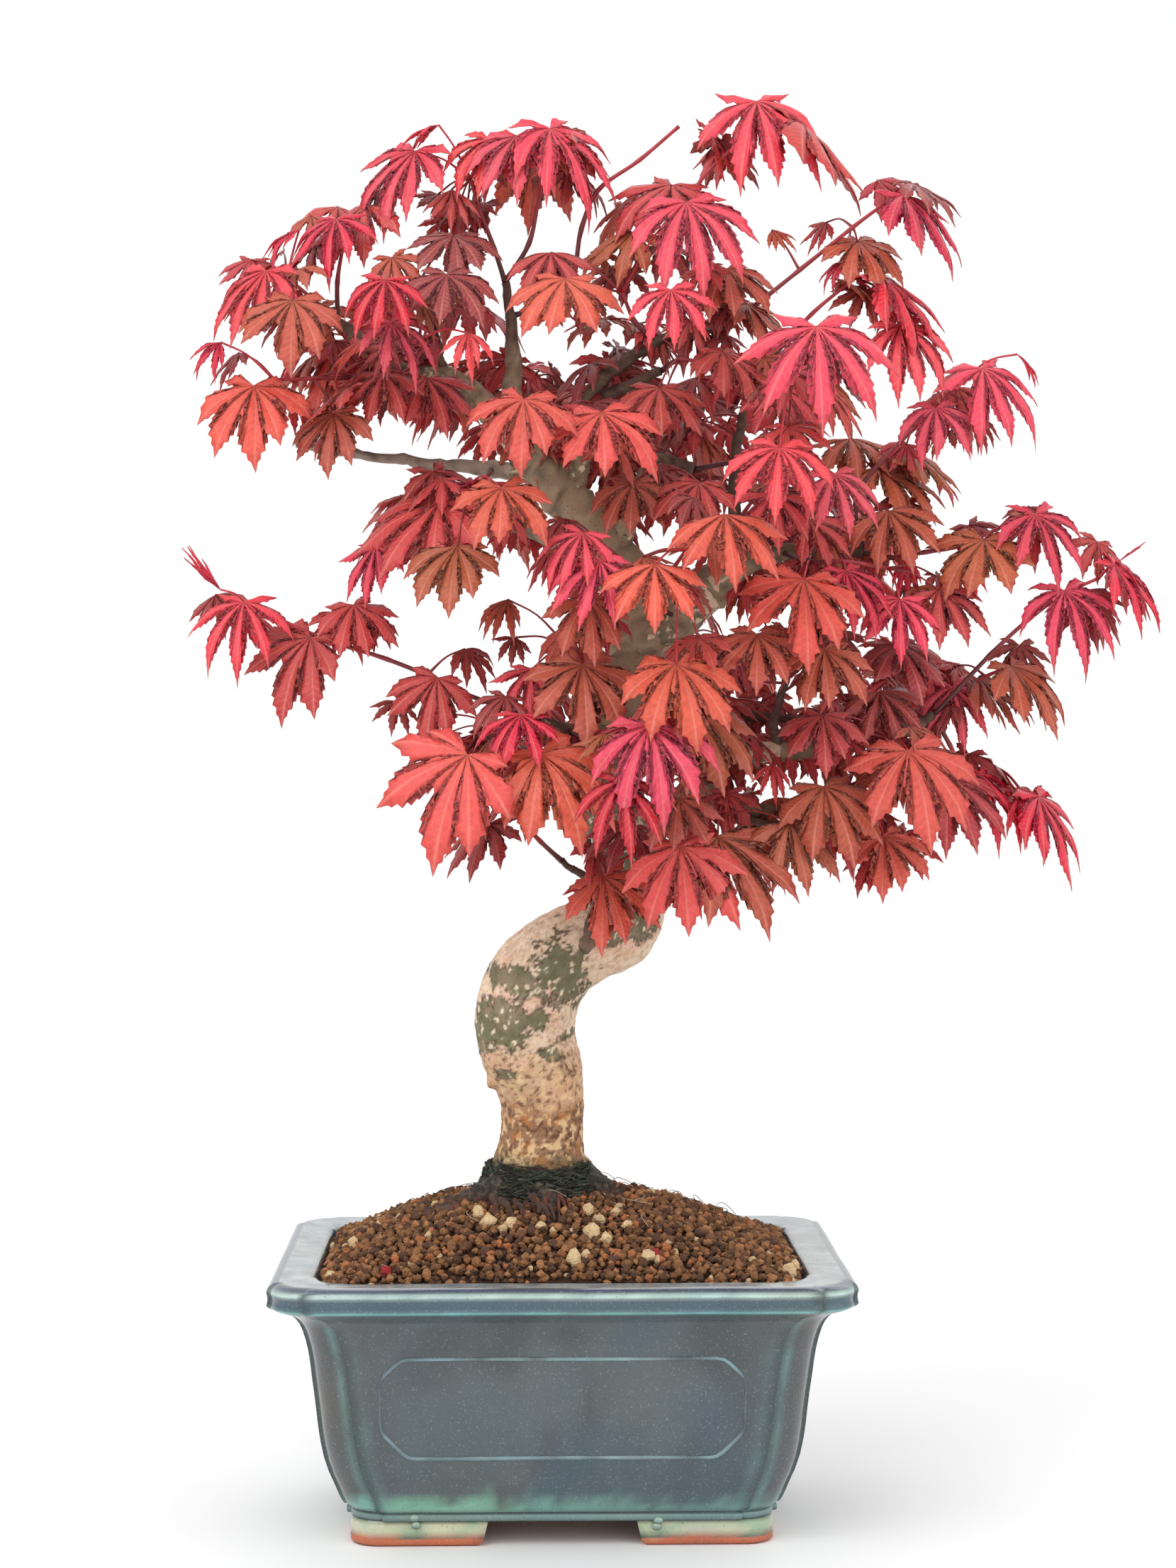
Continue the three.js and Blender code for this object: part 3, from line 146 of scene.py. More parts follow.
# ---------------------------------------------------------------- the leafy shoots
# stem: points after the one on the wood. leaves: [x, y, z, face, lift, turn, size, tone].
# x, y, z is the top of the leaf stalk. face is the compass direction the blade faces (0 right,
# -90 front, 90 back, 180 left), lift how far it looks up, turn swings the middle lobe to the
# viewer's right, size is the middle lobe's length and tone picks the colour.
SHOOTS = [
  ([[-25, 0, 480], [-31, -3, 496], [-34, -4, 506]],
   [[-46, -6, 526, 180, 80, 0, 21, 0], [-55, -6, 516, -120, 42, -15, 42, 1],
    [-41, -10, 501, -90, 50, 0, 25, 3], [-27, -9, 520, -100, 42, 0, 33, 1]]),
  ([[-12, -2, 482], [-8, -3, 500], [-4, -4, 514]],
   [[-17, -14, 520, -90, 42, 8, 38, 1], [-4, -10, 524, -60, 45, 15, 46, 1],
    [2, 2, 525, 0, 65, 0, 26, 3], [-8, 14, 521, 100, 50, 0, 38, 2]]),
  ([[2, -1, 462], [8, -2, 488], [14, -2, 502], [30, -1, 514], [45, 0, 527]],
   [[1, -40, 463, -90, 50, -5, 36, 2]]),
  ([[28, -8, 452], [23, -14, 462]],
   [[46, -35, 492, -85, 45, 8, 48, 1], [42, -5, 504, -95, 55, -20, 38, 3],
    [-4, -25, 475, -90, 48, 0, 28, 3]]),
  ([[48, 0, 470], [50, -2, 490], [52, -3, 504], [66, -4, 519]],
   [[74, -8, 535, -80, 45, 12, 50, 1], [92, -2, 528, -20, 50, 0, 48, 3]]),
  ([[60, -8, 449], [76, -10, 460], [90, -11, 471], [110, -12, 487], [122, -12, 496]],
   [[129, -14, 499, -50, 52, 20, 42, 0], [80, -6, 487, -90, 55, 30, 16, 4],
    [112, -10, 482, -80, 55, 10, 28, 4]]),
  ([[68, -20, 399], [72, -42, 402], [84, -56, 428]],
   [[90, -75, 441, -88, 40, 3, 52, 1], [76, -85, 397, -92, 48, -5, 36, 1],
    [97, -70, 389, -75, 38, 12, 33, 1]]),
  ([[80, -2, 438], [95, -8, 455], [111, -12, 468]],
   [[106, -14, 474, -140, 45, -30, 16, 0], [121, -16, 468, -45, 52, 30, 42, 0],
    [127, -20, 449, -80, 40, 12, 36, 1]]),
  ([[112, -8, 386], [121, -9, 399], [134, -10, 412], [147, -10, 425], [153, -10, 431]],
   [[159, -14, 434, -70, 45, 12, 42, 1], [173, -8, 440, -20, 50, 10, 17, 0],
    [140, -22, 418, -90, 45, 5, 30, 1], [157, -6, 418, -60, 38, 0, 21, 5]]),
  ([[116, -2, 380], [121, 2, 396], [132, 4, 404]],
   [[134, 6, 405, -40, 58, 10, 32, 4], [122, 4, 398, -60, 65, 25, 36, 4],
    [123, -18, 380, -85, 50, 15, 34, 4], [112, 12, 410, -90, 70, 0, 30, 4]]),
  ([[125, -8, 363], [138, -10, 365], [150, -10, 367], [166, -10, 374]],
   [[159, -18, 369, -92, 48, -10, 35, 4], [179, -14, 379, -75, 42, 8, 36, 1],
    [131, -14, 362, -90, 35, -10, 19, 0], [152, -14, 360, -90, 35, 5, 20, 1]]),
  ([[150, -12, 313], [162, -14, 326], [176, -15, 339], [190, -15, 349], [203, -15, 355]],
   [[189, -20, 350, -85, 46, 8, 38, 1], [209, -14, 360, -40, 50, 20, 36, 0],
    [212, -10, 362, 180, 55, 180, 12, 0]]),
  ([[150, -4, 310], [162, -4, 318], [169, -4, 321]],
   [[171, -8, 322, -60, 50, 20, 34, 4], [160, 0, 318, -40, 50, 15, 30, 4],
    [149, -6, 314, -90, 32, 10, 29, 1]]),
  ([[122, -28, 295]],
   [[127, -45, 290, -90, 42, 5, 41, 2], [96, -40, 303, -90, 50, -5, 28, 3],
    [119, -25, 312, -80, 40, 15, 29, 5]]),
  ([[148, -6, 292], [152, -4, 284]],
   [[147, -12, 279, -70, 42, 10, 36, 3], [160, -2, 281, -60, 38, 0, 35, 0]]),
  ([[146, 4, 284], [158, 4, 273], [168, 2, 275], [176, 0, 275]],
   [[175, -4, 272, -70, 35, 0, 25, 0], [183, 0, 272, -40, 38, 5, 40, 0]]),
  ([[118, -26, 263]],
   [[120, -30, 258, -75, 48, 12, 30, 2], [96, -45, 277, -85, 48, 15, 36, 4],
    [101, -33, 263, -90, 35, -5, 25, 3]]),
  ([[58, -34, 266]],
   [[83, -50, 264, -75, 34, 10, 32, 4], [56, -60, 259, -70, 46, 20, 46, 4],
    [42, -60, 273, -90, 50, 0, 28, 4]]),
  ([[34, -34, 258], [30, -46, 253]],
   [[42, -70, 256, -88, 38, 8, 40, 2], [15, -50, 244, -85, 40, 25, 34, 2]]),
  ([[18, -30, 290], [22, -60, 296], [26, -76, 298]],
   [[30, -90, 299, -88, 45, 8, 46, 1], [20, -100, 280, -88, 38, 5, 34, 0]]),
  ([[4, -26, 288], [-6, -48, 292], [-14, -60, 295]],
   [[-15, -70, 303, -95, 55, -8, 32, 0], [-8, -75, 289, -85, 35, 25, 42, 2]]),
  ([[-8, -48, 257], [-16, -66, 266]],
   [[-34, -85, 289, -95, 28, -28, 46, 2]]),
  ([[-22, -20, 306], [-38, -24, 312], [-50, -26, 318], [-65, -26, 324],
    [-79, -26, 328.5], [-92, -25, 333], [-105, -24, 339], [-117, -22, 345]],
   [[-118, -26, 345, -95, 45, -5, 36, 1], [-127, -20, 350, -20, 40, 180, 24, 0],
    [-93, -28, 332, -110, 38, -25, 36, 3], [-77, -30, 344, -80, 50, 15, 28, 3],
    [-46, -34, 317, -92, 30, -15, 30, 3]]),
  ([[14, -22, 322], [2, -40, 328]],
   [[-11, -45, 320, -92, 48, -5, 27, 1], [7, -60, 321, -90, 42, 0, 36, 4],
    [-20, -30, 346, -95, 52, -15, 23, 4]]),
  ([[18, -26, 362], [13, -50, 366]],
   [[9, -65, 345, -88, 40, 0, 28, 4], [13, -75, 358, -92, 34, -15, 34, 1],
    [7, -70, 368, -95, 44, -20, 30, 1]]),
  ([[34, -30, 346], [40, -56, 356], [44, -68, 362]],
   [[32, -85, 356, -90, 46, 0, 33, 2], [57, -80, 374, -88, 48, 5, 37, 2],
    [40, -80, 321, -85, 46, 5, 37, 2]]),
  ([[92, -30, 360], [104, -34, 360], [122, -26, 358]],
   [[87, -60, 352, -90, 46, -8, 39, 2], [125, -35, 346, -88, 40, -5, 30, 1],
    [141, -25, 350, -70, 48, 15, 30, 3], [104, -44, 356, -60, 48, 15, 32, 0]]),
  ([[90, -28, 328], [88, -44, 332]],
   [[95, -55, 327, -85, 42, 5, 30, 4], [70, -65, 332, -90, 44, 0, 30, 4],
    [126, -20, 330, -80, 55, 10, 30, 5]]),
  ([[4, -24, 408], [0, -44, 414]],
   [[14, -60, 412, -90, 46, 10, 37, 2], [-14, -65, 416, -92, 46, -10, 33, 2]]),
  ([[-28, -20, 392], [-34, -36, 388]],
   [[-22, -70, 384, -92, 46, 8, 31, 2], [-45, -40, 381, -110, 46, -25, 44, 3],
    [-38, -55, 364, -95, 48, -8, 32, 4], [-69, -25, 366, -120, 35, 0, 27, 1]]),
  ([[-76, -18, 430], [-92, -26, 428], [-106, -30, 427]],
   [[-113, -35, 424, -95, 40, 0, 36, 2], [-126, -28, 441, -100, 48, -30, 20, 0],
    [-78, -32, 424, 180, 62, 0, 30, 3], [-84, -34, 414, -110, 35, 0, 27, 4]]),
  ([[-92, -16, 458], [-102, -22, 466]],
   [[-98, -45, 454, -95, 46, -5, 33, 4], [-109, -30, 467, -120, 44, -12, 38, 1],
    [-98, -14, 485, -135, 65, -20, 24, 0], [-112, -8, 470, 180, 50, 0, 28, 4]]),
  ([[-84, -10, 466], [-82, -12, 478]],
   [[-84, -20, 488, -110, 50, 0, 32, 0], [-74, -4, 496, -130, 48, -10, 36, 3]]),
  ([[-52, -16, 456], [-54, -32, 460]],
   [[-64, -55, 460, -92, 40, -5, 30, 0], [-40, -20, 482, -90, 58, 0, 29, 5],
    [-42, -42, 464, -90, 48, 0, 30, 5]]),
  ([[-50, -22, 440], [-52, -38, 441]],
   [[-34, -55, 441, -90, 50, 0, 23, 1], [-62, -46, 446, -70, 42, 20, 30, 1],
    [-72, -22, 444, -150, 62, 0, 24, 2]]),
  ([[-60, -16, 431]],
   [[-66, -26, 430, -100, 46, -10, 27, 3], [-50, -20, 429, -80, 46, 15, 30, 3]]),
  ([[46, -26, 454], [52, -34, 456]],
   [[39, -60, 456, -88, 44, 5, 31, 1], [62, -20, 470, -80, 55, 0, 30, 4],
    [70, -12, 458, -50, 58, 15, 26, 4]]),
  ([[44, -20, 436], [56, -24, 434]],
   [[36, -34, 424, -80, 52, 0, 30, 3], [60, -28, 438, -60, 56, 10, 30, 3],
    [82, -34, 424, -80, 40, 0, 30, 3]]),
  ([[38, -26, 394]],
   [[26, -42, 388, -90, 48, 0, 28, 4], [50, -46, 388, -95, 58, -20, 28, 3]]),
  ([[72, -20, 384]],
   [[78, -42, 384, -90, 45, 0, 28, 3], [92, -30, 376, -70, 45, 10, 26, 3]]),
  ([[60, -24, 297]],
   [[47, -50, 305, -80, 46, 15, 38, 4], [78, -32, 285, -90, 40, 0, 18, 1]]),
]

# Shoots that fill the back and the sides of the crown: [x, y, z] of each one's fork.
REAR_FORKS = [
  [52, 84, 336], [-40, 78, 390], [102, 68, 378], [-12, 58, 438], [-22, 76, 296], [30, 40, 420],
  [130, 26, 318], [-70, 34, 444], [84, 40, 440],
]
LEAVES_PER_REAR_FORK = 4
REAR_STALK_REACH = 24


# ---------------------------------------------------------------- numbers and colours
def srgb(red, green, blue):
    """A colour seen on screen, 0 to 255, as the linear colour that a shader takes."""
    def linear(value):
        value /= 255
        return value / 12.92 if value <= 0.04045 else ((value + 0.055) / 1.055) ** 2.4
    return np.array([linear(red), linear(green), linear(blue)])


def vary(seed):
    wave = math.sin(seed * 12.9898) * 43758.5453
    return wave - math.floor(wave)


def unit(vectors):
    length = np.linalg.norm(vectors, axis=-1, keepdims=True)
    return vectors / np.maximum(length, 1e-9)


def fbm(points, scale, octaves=3, shift=0.0):
    """Smooth noise about -1 to 1 at each point, with features about `scale` mm across."""
    places = [Vector((x / scale + shift, y / scale - shift, z / scale)) for x, y, z in points]
    return np.array([noise.fractal(place, 1.0, 2.0, octaves) for place in places])


def smooth_step(low, high, value):
    t = np.clip((value - low) / (high - low), 0, 1)
    return t * t * (3 - 2 * t)


def bell(value, width):
    """One where the value is nought, falling away over the width to either side."""
    return np.exp(-(value / width) ** 2)


def together(*columns):
    return np.stack(columns, axis=-1)


def blend(colours, colour, amount):
    amount = np.asarray(amount)[:, None]
    return colours * (1 - amount) + np.asarray(colour) * amount


class Paint:
    """The colour of each point, built up in coats."""

    def __init__(self, red, green, blue):
        self.colour = srgb(red, green, blue)

    def coat(self, red, green, blue, amount):
        self.colour = blend(self.colour, srgb(red, green, blue), amount)


# ---------------------------------------------------------------- meshes
class Soup:
    """Gathers the points, faces and per-point values of one piece."""

    def __init__(self):
        self.points = []
        self.faces = []
        self.colours = []
        self.marks = []
        self.materials = []
        self.count = 0

    def add(self, points, faces, colour=(1, 1, 1), mark=(0, 0), material=0):
        points = np.asarray(points, float).reshape(-1, 3)
        self.points.append(points)
        self.colours.append(np.broadcast_to(np.asarray(colour, float), (len(points), 3)))
        self.marks.append(np.broadcast_to(np.asarray(mark, float), (len(points), 2)))
        for group in faces if isinstance(faces, list) else [faces]:
            group = np.asarray(group, int)
            self.faces.append(group + self.count)
            self.materials.append(np.full(len(group), material))
        self.count += len(points)

    def mesh(self, name):
        points = np.concatenate(self.points) * MM + POT_CENTRE
        sizes = np.concatenate([np.full(len(group), group.shape[1]) for group in self.faces])
        corners = np.concatenate([group.ravel() for group in self.faces])
        mesh = bpy.data.meshes.new(name)
        mesh.vertices.add(len(points))
        mesh.vertices.foreach_set("co", points.ravel())
        mesh.loops.add(len(corners))
        mesh.loops.foreach_set("vertex_index", corners)
        mesh.polygons.add(len(sizes))
        mesh.polygons.foreach_set("loop_start", np.concatenate([[0], np.cumsum(sizes)[:-1]]))
        mesh.polygons.foreach_set("material_index", np.concatenate(self.materials))
        mesh.update(calc_edges=True)
        tint = mesh.color_attributes.new("tint", "FLOAT_COLOR", "POINT")
        colours = np.concatenate(self.colours)
        tint.data.foreach_set("color", np.hstack([colours, np.ones((len(colours), 1))]).ravel())
        mark = mesh.attributes.new("mark", "FLOAT_VECTOR", "POINT")
        marks = np.concatenate(self.marks)
        mark.data.foreach_set("vector", np.hstack([marks, np.zeros((len(marks), 1))]).ravel())
        mesh.validate()
        return mesh

    def piece(self, name, materials, slot, replaces=(), smooth=True):
        mesh = self.mesh(name)
        if smooth:
            mesh.polygons.foreach_set("use_smooth", np.ones(len(mesh.polygons), bool))
        obj = add_object(name, mesh)
        for material in materials:
            mesh.materials.append(material)
        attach(obj, "root")
        if replaces:
            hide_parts(*replaces)
        return obj


def grid_faces(rows, columns, closed=True):
    """Quads between `rows` rings of `columns` points each."""
    across = columns if closed else columns - 1
    r, c = np.meshgrid(np.arange(rows - 1), np.arange(across), indexing="ij")
    near = (c + 1) % columns
    row, following = r * columns, (r + 1) * columns
    return together(row + c, row + near, following + near, following + c).reshape(-1, 4)


def spline(stations, per_span):
    """A smooth path through the stations; every column, the radius too, is carried along."""
    s = np.asarray(stations, float)
    s = np.vstack([2 * s[0] - s[1], s, 2 * s[-1] - s[-2]])
    path = []
    for k in range(1, len(s) - 2):
        p0, p1, p2, p3 = s[k - 1], s[k], s[k + 1], s[k + 2]
        spans = [b[:3] - a[:3] for a, b in ((p0, p1), (p1, p2), (p2, p3))]
        d1, d2, d3 = (max(np.linalg.norm(span), 1e-6) ** 0.5 for span in spans)
        m1 = d2 * ((p1 - p0) / d1 - (p2 - p0) / (d1 + d2) + (p2 - p1) / d2)
        m2 = d2 * ((p2 - p1) / d2 - (p3 - p1) / (d2 + d3) + (p3 - p2) / d3)
        for t in np.arange(per_span) / per_span:
            path.append((2 * t ** 3 - 3 * t ** 2 + 1) * p1 + (t ** 3 - 2 * t ** 2 + t) * m1
                        + (3 * t ** 2 - 2 * t ** 3) * p2 + (t ** 3 - t ** 2) * m2)
    path.append(s[-2])
    return np.array(path)


def tube(path, sides):
    """Rings round a path of [x, y, z, radius], with a point at each end to close it."""
    centres = path[:, :3]
    radii = path[:, 3]
    tangents = unit(np.gradient(centres, axis=0))
    side = np.array([1.0, 0.13, 0.07])
    turns = np.arange(sides) * 2 * math.pi / sides
    rings = []
    for k, tangent in enumerate(tangents):
        side = unit(side - tangent * side.dot(tangent))
        up = np.cross(side, tangent)
        rings.append(centres[k] + np.outer(np.cos(turns), side) * radii[k]
                     + np.outer(np.sin(turns), up) * radii[k])
    count = len(path)
    points = np.vstack([np.concatenate(rings), centres[0], centres[-1]])
    first = np.arange(sides)
    following = (first + 1) % sides
    last = (count - 1) * sides
    caps = np.vstack([
        together(following, first, np.full(sides, count * sides)),
        together(last + first, last + following, np.full(sides, count * sides + 1))])
    return points, [grid_faces(count, sides)[:, ::-1], caps[:, ::-1]]


def ball(divisions):
    """Corners and faces of an icosahedron of radius one, divided or not."""
    form = bmesh.new()
    bmesh.ops.create_icosphere(form, subdivisions=divisions, radius=1)
    points = np.array([corner.co for corner in form.verts])
    faces = np.array([[corner.index for corner in face.verts] for face in form.faces])
    form.free()
    return points, faces


PEBBLE = ball(2)
CRUMB = ball(1)


def add_grain(soup, centre, radius, squash, seed, colour, form=PEBBLE):
    """One angular granule: a lumpy ball, squashed and turned."""
    corners, faces = form
    lumps = 0.20 * np.sin(corners @ np.array([5.3, 8.0, 3.9]) + seed * 9)
    edges = 0.15 * np.sin(corners @ np.array([-11.3, 6.1, 12.7]) + seed * 23)
    points = corners * (1 + lumps + edges)[:, None]
    turn = np.array(Euler((seed * 5.1, seed * 3.3, seed * 7.7)).to_matrix())
    soup.add((points * radius * np.array([1, 0.86, squash])) @ turn.T + np.array(centre), faces, colour)


# ---------------------------------------------------------------- materials
class Shader:
    """A Principled material and a short way to add nodes to it."""

    def __init__(self, name, roughness=0.5, **sockets):
        self.material = bpy.data.materials.new(name)
        self.material.use_nodes = True
        self.nodes = self.material.node_tree.nodes
        self.link = self.material.node_tree.links.new
        self.surface = self.nodes["Principled BSDF"]
        self.surface.inputs["Roughness"].default_value = roughness
        for socket, value in sockets.items():
            self.surface.inputs[socket.replace("_", " ")].default_value = value

    def node(self, kind, inputs=(), **settings):
        made = self.nodes.new("ShaderNode" + kind)
        for key, value in settings.items():
            setattr(made, key, value)
        for key, value in dict(inputs).items():
            if isinstance(value, bpy.types.NodeSocket):
                self.link(value, made.inputs[key])
            else:
                made.inputs[key].default_value = value
        return made

    def noise(self, scale, detail=4.0, roughness=0.55, stretch=(1, 1, 1)):
        """Noise in the object's own space; scale is in features per metre."""
        place = self.node("TexCoord").outputs["Object"]
        if stretch != (1, 1, 1):
            place = self.node("Mapping", {"Vector": place, "Scale": stretch}).outputs["Vector"]
        return self.node("TexNoise", {
            "Vector": place, "Scale": scale, "Detail": detail, "Roughness": roughness}).outputs["Fac"]

    def cells(self, scale):
        place = self.node("TexCoord").outputs["Object"]
        return self.node("TexVoronoi", {"Vector": place, "Scale": scale}).outputs["Distance"]

    def ramp(self, factor, *stops):
        """Grey ramp through (position, value) stops."""
        made = self.node("ValToRGB", {"Fac": factor})
        band = made.color_ramp
        while len(band.elements) < len(stops):
            band.elements.new(0.5)
        for element, (place, value) in zip(band.elements, stops):
            element.position = place
            element.color = (value, value, value, 1)
        return made.outputs["Color"]

    def mix(self, amount, first, second, how="MIX"):
        made = self.node("Mix", data_type="RGBA", blend_type=how)
        for number, value in ((0, amount), (6, first), (7, second)):
            socket = made.inputs[number]
            if isinstance(value, bpy.types.NodeSocket):
                self.link(value, socket)
            elif socket.type == "RGBA":
                socket.default_value = (*value, 1)
            else:
                socket.default_value = value
        return made.outputs[2]

    def math(self, how, first, second):
        return self.node("Math", {0: first, 1: second}, operation=how).outputs[0]

    def times(self, first, second):
        return self.math("MULTIPLY", first, second)

    def plus(self, first, second):
        return self.math("ADD", first, second)

    def minus(self, first, second):
        return self.math("SUBTRACT", first, second)

    def shaded(self, factor, low, high, most, shade, base=None):
        """The tint, or another base, darkened by `shade` where the factor is high."""
        amount = self.ramp(factor, (low, 0.0), (high, most))
        return self.mix(amount, base or self.tint(), shade, "MULTIPLY")

    def tint(self):
        return self.node("Attribute", attribute_name="tint").outputs["Color"]

    def mark(self):
        vector = self.node("Attribute", attribute_name="mark").outputs["Vector"]
        return self.node("SeparateXYZ", {"Vector": vector}).outputs

    def colour(self, socket):
        self.link(socket, self.surface.inputs["Base Color"])

    def rough(self, socket):
        self.link(socket, self.surface.inputs["Roughness"])

    def bump(self, height, depth, strength=1.0):
        made = self.node("Bump", {"Height": height, "Distance": depth, "Strength": strength})
        self.link(made.outputs["Normal"], self.surface.inputs["Normal"])


def leaf_material(name, roughness, glow):
    """Leaf skin: tint with light ribs, side veins at an angle, fine mottling and a little inner glow."""
    shader = Shader(name, roughness, Subsurface_Weight=glow, Subsurface_Radius=(1.0, 0.25, 0.2),
                    Subsurface_Scale=0.0012, Coat_Weight=0.06, Coat_Roughness=0.45)
    along, across = shader.mark()[0], shader.mark()[1]
    slant = shader.minus(shader.times(along, 13.0), shader.times(across, 1.1))
    veins = shader.ramp(shader.math("PINGPONG", slant, 0.5), (0.0, 1.0), (0.13, 0.25), (0.3, 0.0))
    rib = shader.ramp(across, (0.0, 1.0), (0.10, 0.35), (0.22, 0.0))
    mottle = shader.noise(420, 5)
    base = shader.shaded(mottle, 0.35, 0.75, 0.55, (0.55, 0.30, 0.26))
    with_veins = shader.mix(shader.times(veins, 0.22), base, (0.78, 0.20, 0.16))
    shader.colour(shader.mix(shader.times(rib, 0.42), with_veins, (0.92, 0.34, 0.26)))
    relief = shader.plus(shader.times(veins, -0.35), shader.times(rib, -0.7))
    shader.bump(shader.plus(relief, shader.times(mottle, 0.8)), 0.0004, 0.7)
    return shader.material


def stalk_material():
    shader = Shader("young_stalk", 0.42)
    streak = shader.noise(260, 4, stretch=(1, 1, 0.35))
    shader.colour(shader.shaded(streak, 0.4, 0.7, 0.7, (0.45, 0.25, 0.25)))
    shader.bump(streak, 0.0003, 0.5)
    return shader.material


def bark_material():
    """Old bark: painted patches with fine pores, flecks and hairline cracks over them."""
    shader = Shader("old_bark", 0.78)
    pores = shader.ramp(shader.cells(620), (0.0, 1.0), (0.16, 0.0))
    flecks = shader.ramp(shader.noise(900, 3), (0.60, 0.0), (0.70, 1.0))
    grain = shader.noise(190, 6)
    rough_zone = shader.mark()[0]
    pale = shader.shaded(grain, 0.35, 0.7, 0.55, (0.72, 0.55, 0.42))
    pore_depth = shader.times(pores, shader.plus(shader.times(rough_zone, 0.75), 0.16))
    pored = shader.mix(pore_depth, pale, tuple(srgb(70, 42, 24)))
    shader.colour(shader.mix(shader.times(flecks, 0.30), pored, tuple(srgb(120, 88, 60))))
    height = shader.minus(shader.times(grain, 0.8), shader.times(pores, 0.7))
    shader.bump(height, 0.0011, 0.85)
    return shader.material


def glaze_material():
    """Blue-grey reduction glaze. Mark y is where the clay is bare."""
    shader = Shader("blue_grey_glaze", 0.24, Coat_Weight=0.35, Coat_Roughness=0.09)
    cloud = shader.noise(38, 5)
    haze = shader.noise(16, 3)
    speck = shader.ramp(shader.noise(1300, 2, 0.6), (0.60, 0.0), (0.68, 1.0))
    dark_speck = shader.ramp(shader.noise(1050, 2, 0.5, stretch=(1, 1, 1.01)), (0.30, 1.0), (0.38, 0.0))
    body = shader.shaded(haze, 0.42, 0.62, 1.0, (0.90, 0.97, 1.08))
    body = shader.shaded(cloud, 0.38, 0.66, 0.55, (0.66, 0.72, 0.70), body)
    body = shader.mix(shader.times(speck, 0.20), body, tuple(srgb(180, 192, 190)))
    body = shader.mix(shader.times(dark_speck, 0.35), body, tuple(srgb(48, 62, 62)))
    shader.colour(body)
    bare = shader.mark()[1]
    shader.rough(shader.ramp(bare, (0.0, 0.22), (1.0, 0.85)))
    height = shader.plus(shader.times(speck, 0.4), shader.times(cloud, 1.2))
    shader.bump(height, 0.0006, 0.35)
    return shader.material


def granule_material(name, dark):
    """Porous fired clay or pumice: pitted, and dustier in its high places."""
    shader = Shader(name, 0.92)
    pits = shader.cells(1500)
    dust = shader.noise(700, 5)
    shader.colour(shader.shaded(dust, 0.35, 0.7, 0.8, dark))
    shader.bump(shader.plus(pits, shader.times(dust, 1.4)), 0.0007, 0.8)
    return shader.material


def fibre_material():
    shader = Shader("dark_fibre", 0.95)
    strand = shader.noise(500, 5, stretch=(1, 1, 0.4))
    shader.colour(shader.shaded(strand, 0.35, 0.7, 0.8, (0.4, 0.45, 0.38)))
    shader.bump(strand, 0.0008, 0.8)
    return shader.material


def plain_material(name, colour, roughness, scale, depth, metallic=0.0):
    """For the small things inside the pot: one colour broken up by noise, with a fine relief."""
    shader = Shader(name, roughness, Metallic=metallic)
    grain = shader.noise(scale, 5)
    amount = shader.ramp(grain, (0.3, 0.0), (0.7, 0.5))
    shader.colour(shader.mix(amount, tuple(colour), tuple(colour * 0.45)))
    shader.bump(grain, depth, 0.8)
    return shader.material


LEAF_SKIN = leaf_material("leaf_skin", 0.50, 0.22)
YOUNG_SKIN = leaf_material("young_leaf_skin", 0.38, 0.25)
STALK = stalk_material()
BARK = bark_material()
GLAZE = glaze_material()
CLAY_GRAIN = granule_material("baked_clay_grain", (0.52, 0.47, 0.43))
PUMICE_GRAIN = granule_material("pumice_grain", (0.72, 0.62, 0.50))
FIBRE = fibre_material()


# ---------------------------------------------------------------- pot
CORNER = 14.0
CORNER_STEP = 1.5
SIDE_POINTS = 40
END_POINTS = 30
ARC_POINTS = 9
FOOT_INSET = 28.6
FOOT_WIDTH = 13.0
HOLE_RADIUS = 9.0
HOLE_X = 38.0
FLOOR_UNDERSIDE = 9.0
FLOOR_TOP = 16.0
FOOT_GAP_LONG = 56.0
FOOT_GAP_SHORT = 40.0


def pot_ring(inset, height):
    """The pot's outline at one height: four straight sides and stepped round corners."""
    a = POT_LENGTH / 2 - inset
    b = POT_DEPTH / 2 - inset
    radius = CORNER - CORNER_STEP
    ring = []
    for quarter in range(4):
        long_half, short_half = (a, b) if quarter % 2 == 0 else (b, a)
        count = END_POINTS if quarter % 2 == 0 else SIDE_POINTS
        local = [(long_half, v) for v in np.linspace(-(short_half - CORNER), short_half - CORNER, count)]
        local.append((long_half - 0.25, short_half - CORNER + 0.12))
        turns = np.linspace(0.02, math.pi / 2 - 0.02, ARC_POINTS)
        local += [(long_half - CORNER + radius * math.cos(t),
                   short_half - CORNER + radius * math.sin(t)) for t in turns]
        local.append((long_half - CORNER + 0.12, short_half - 0.25))
        turn = quarter * math.pi / 2
        c, s = math.cos(turn), math.sin(turn)
        ring += [(u * c - v * s, u * s + v * c, height) for u, v in local]
    return np.array(ring)


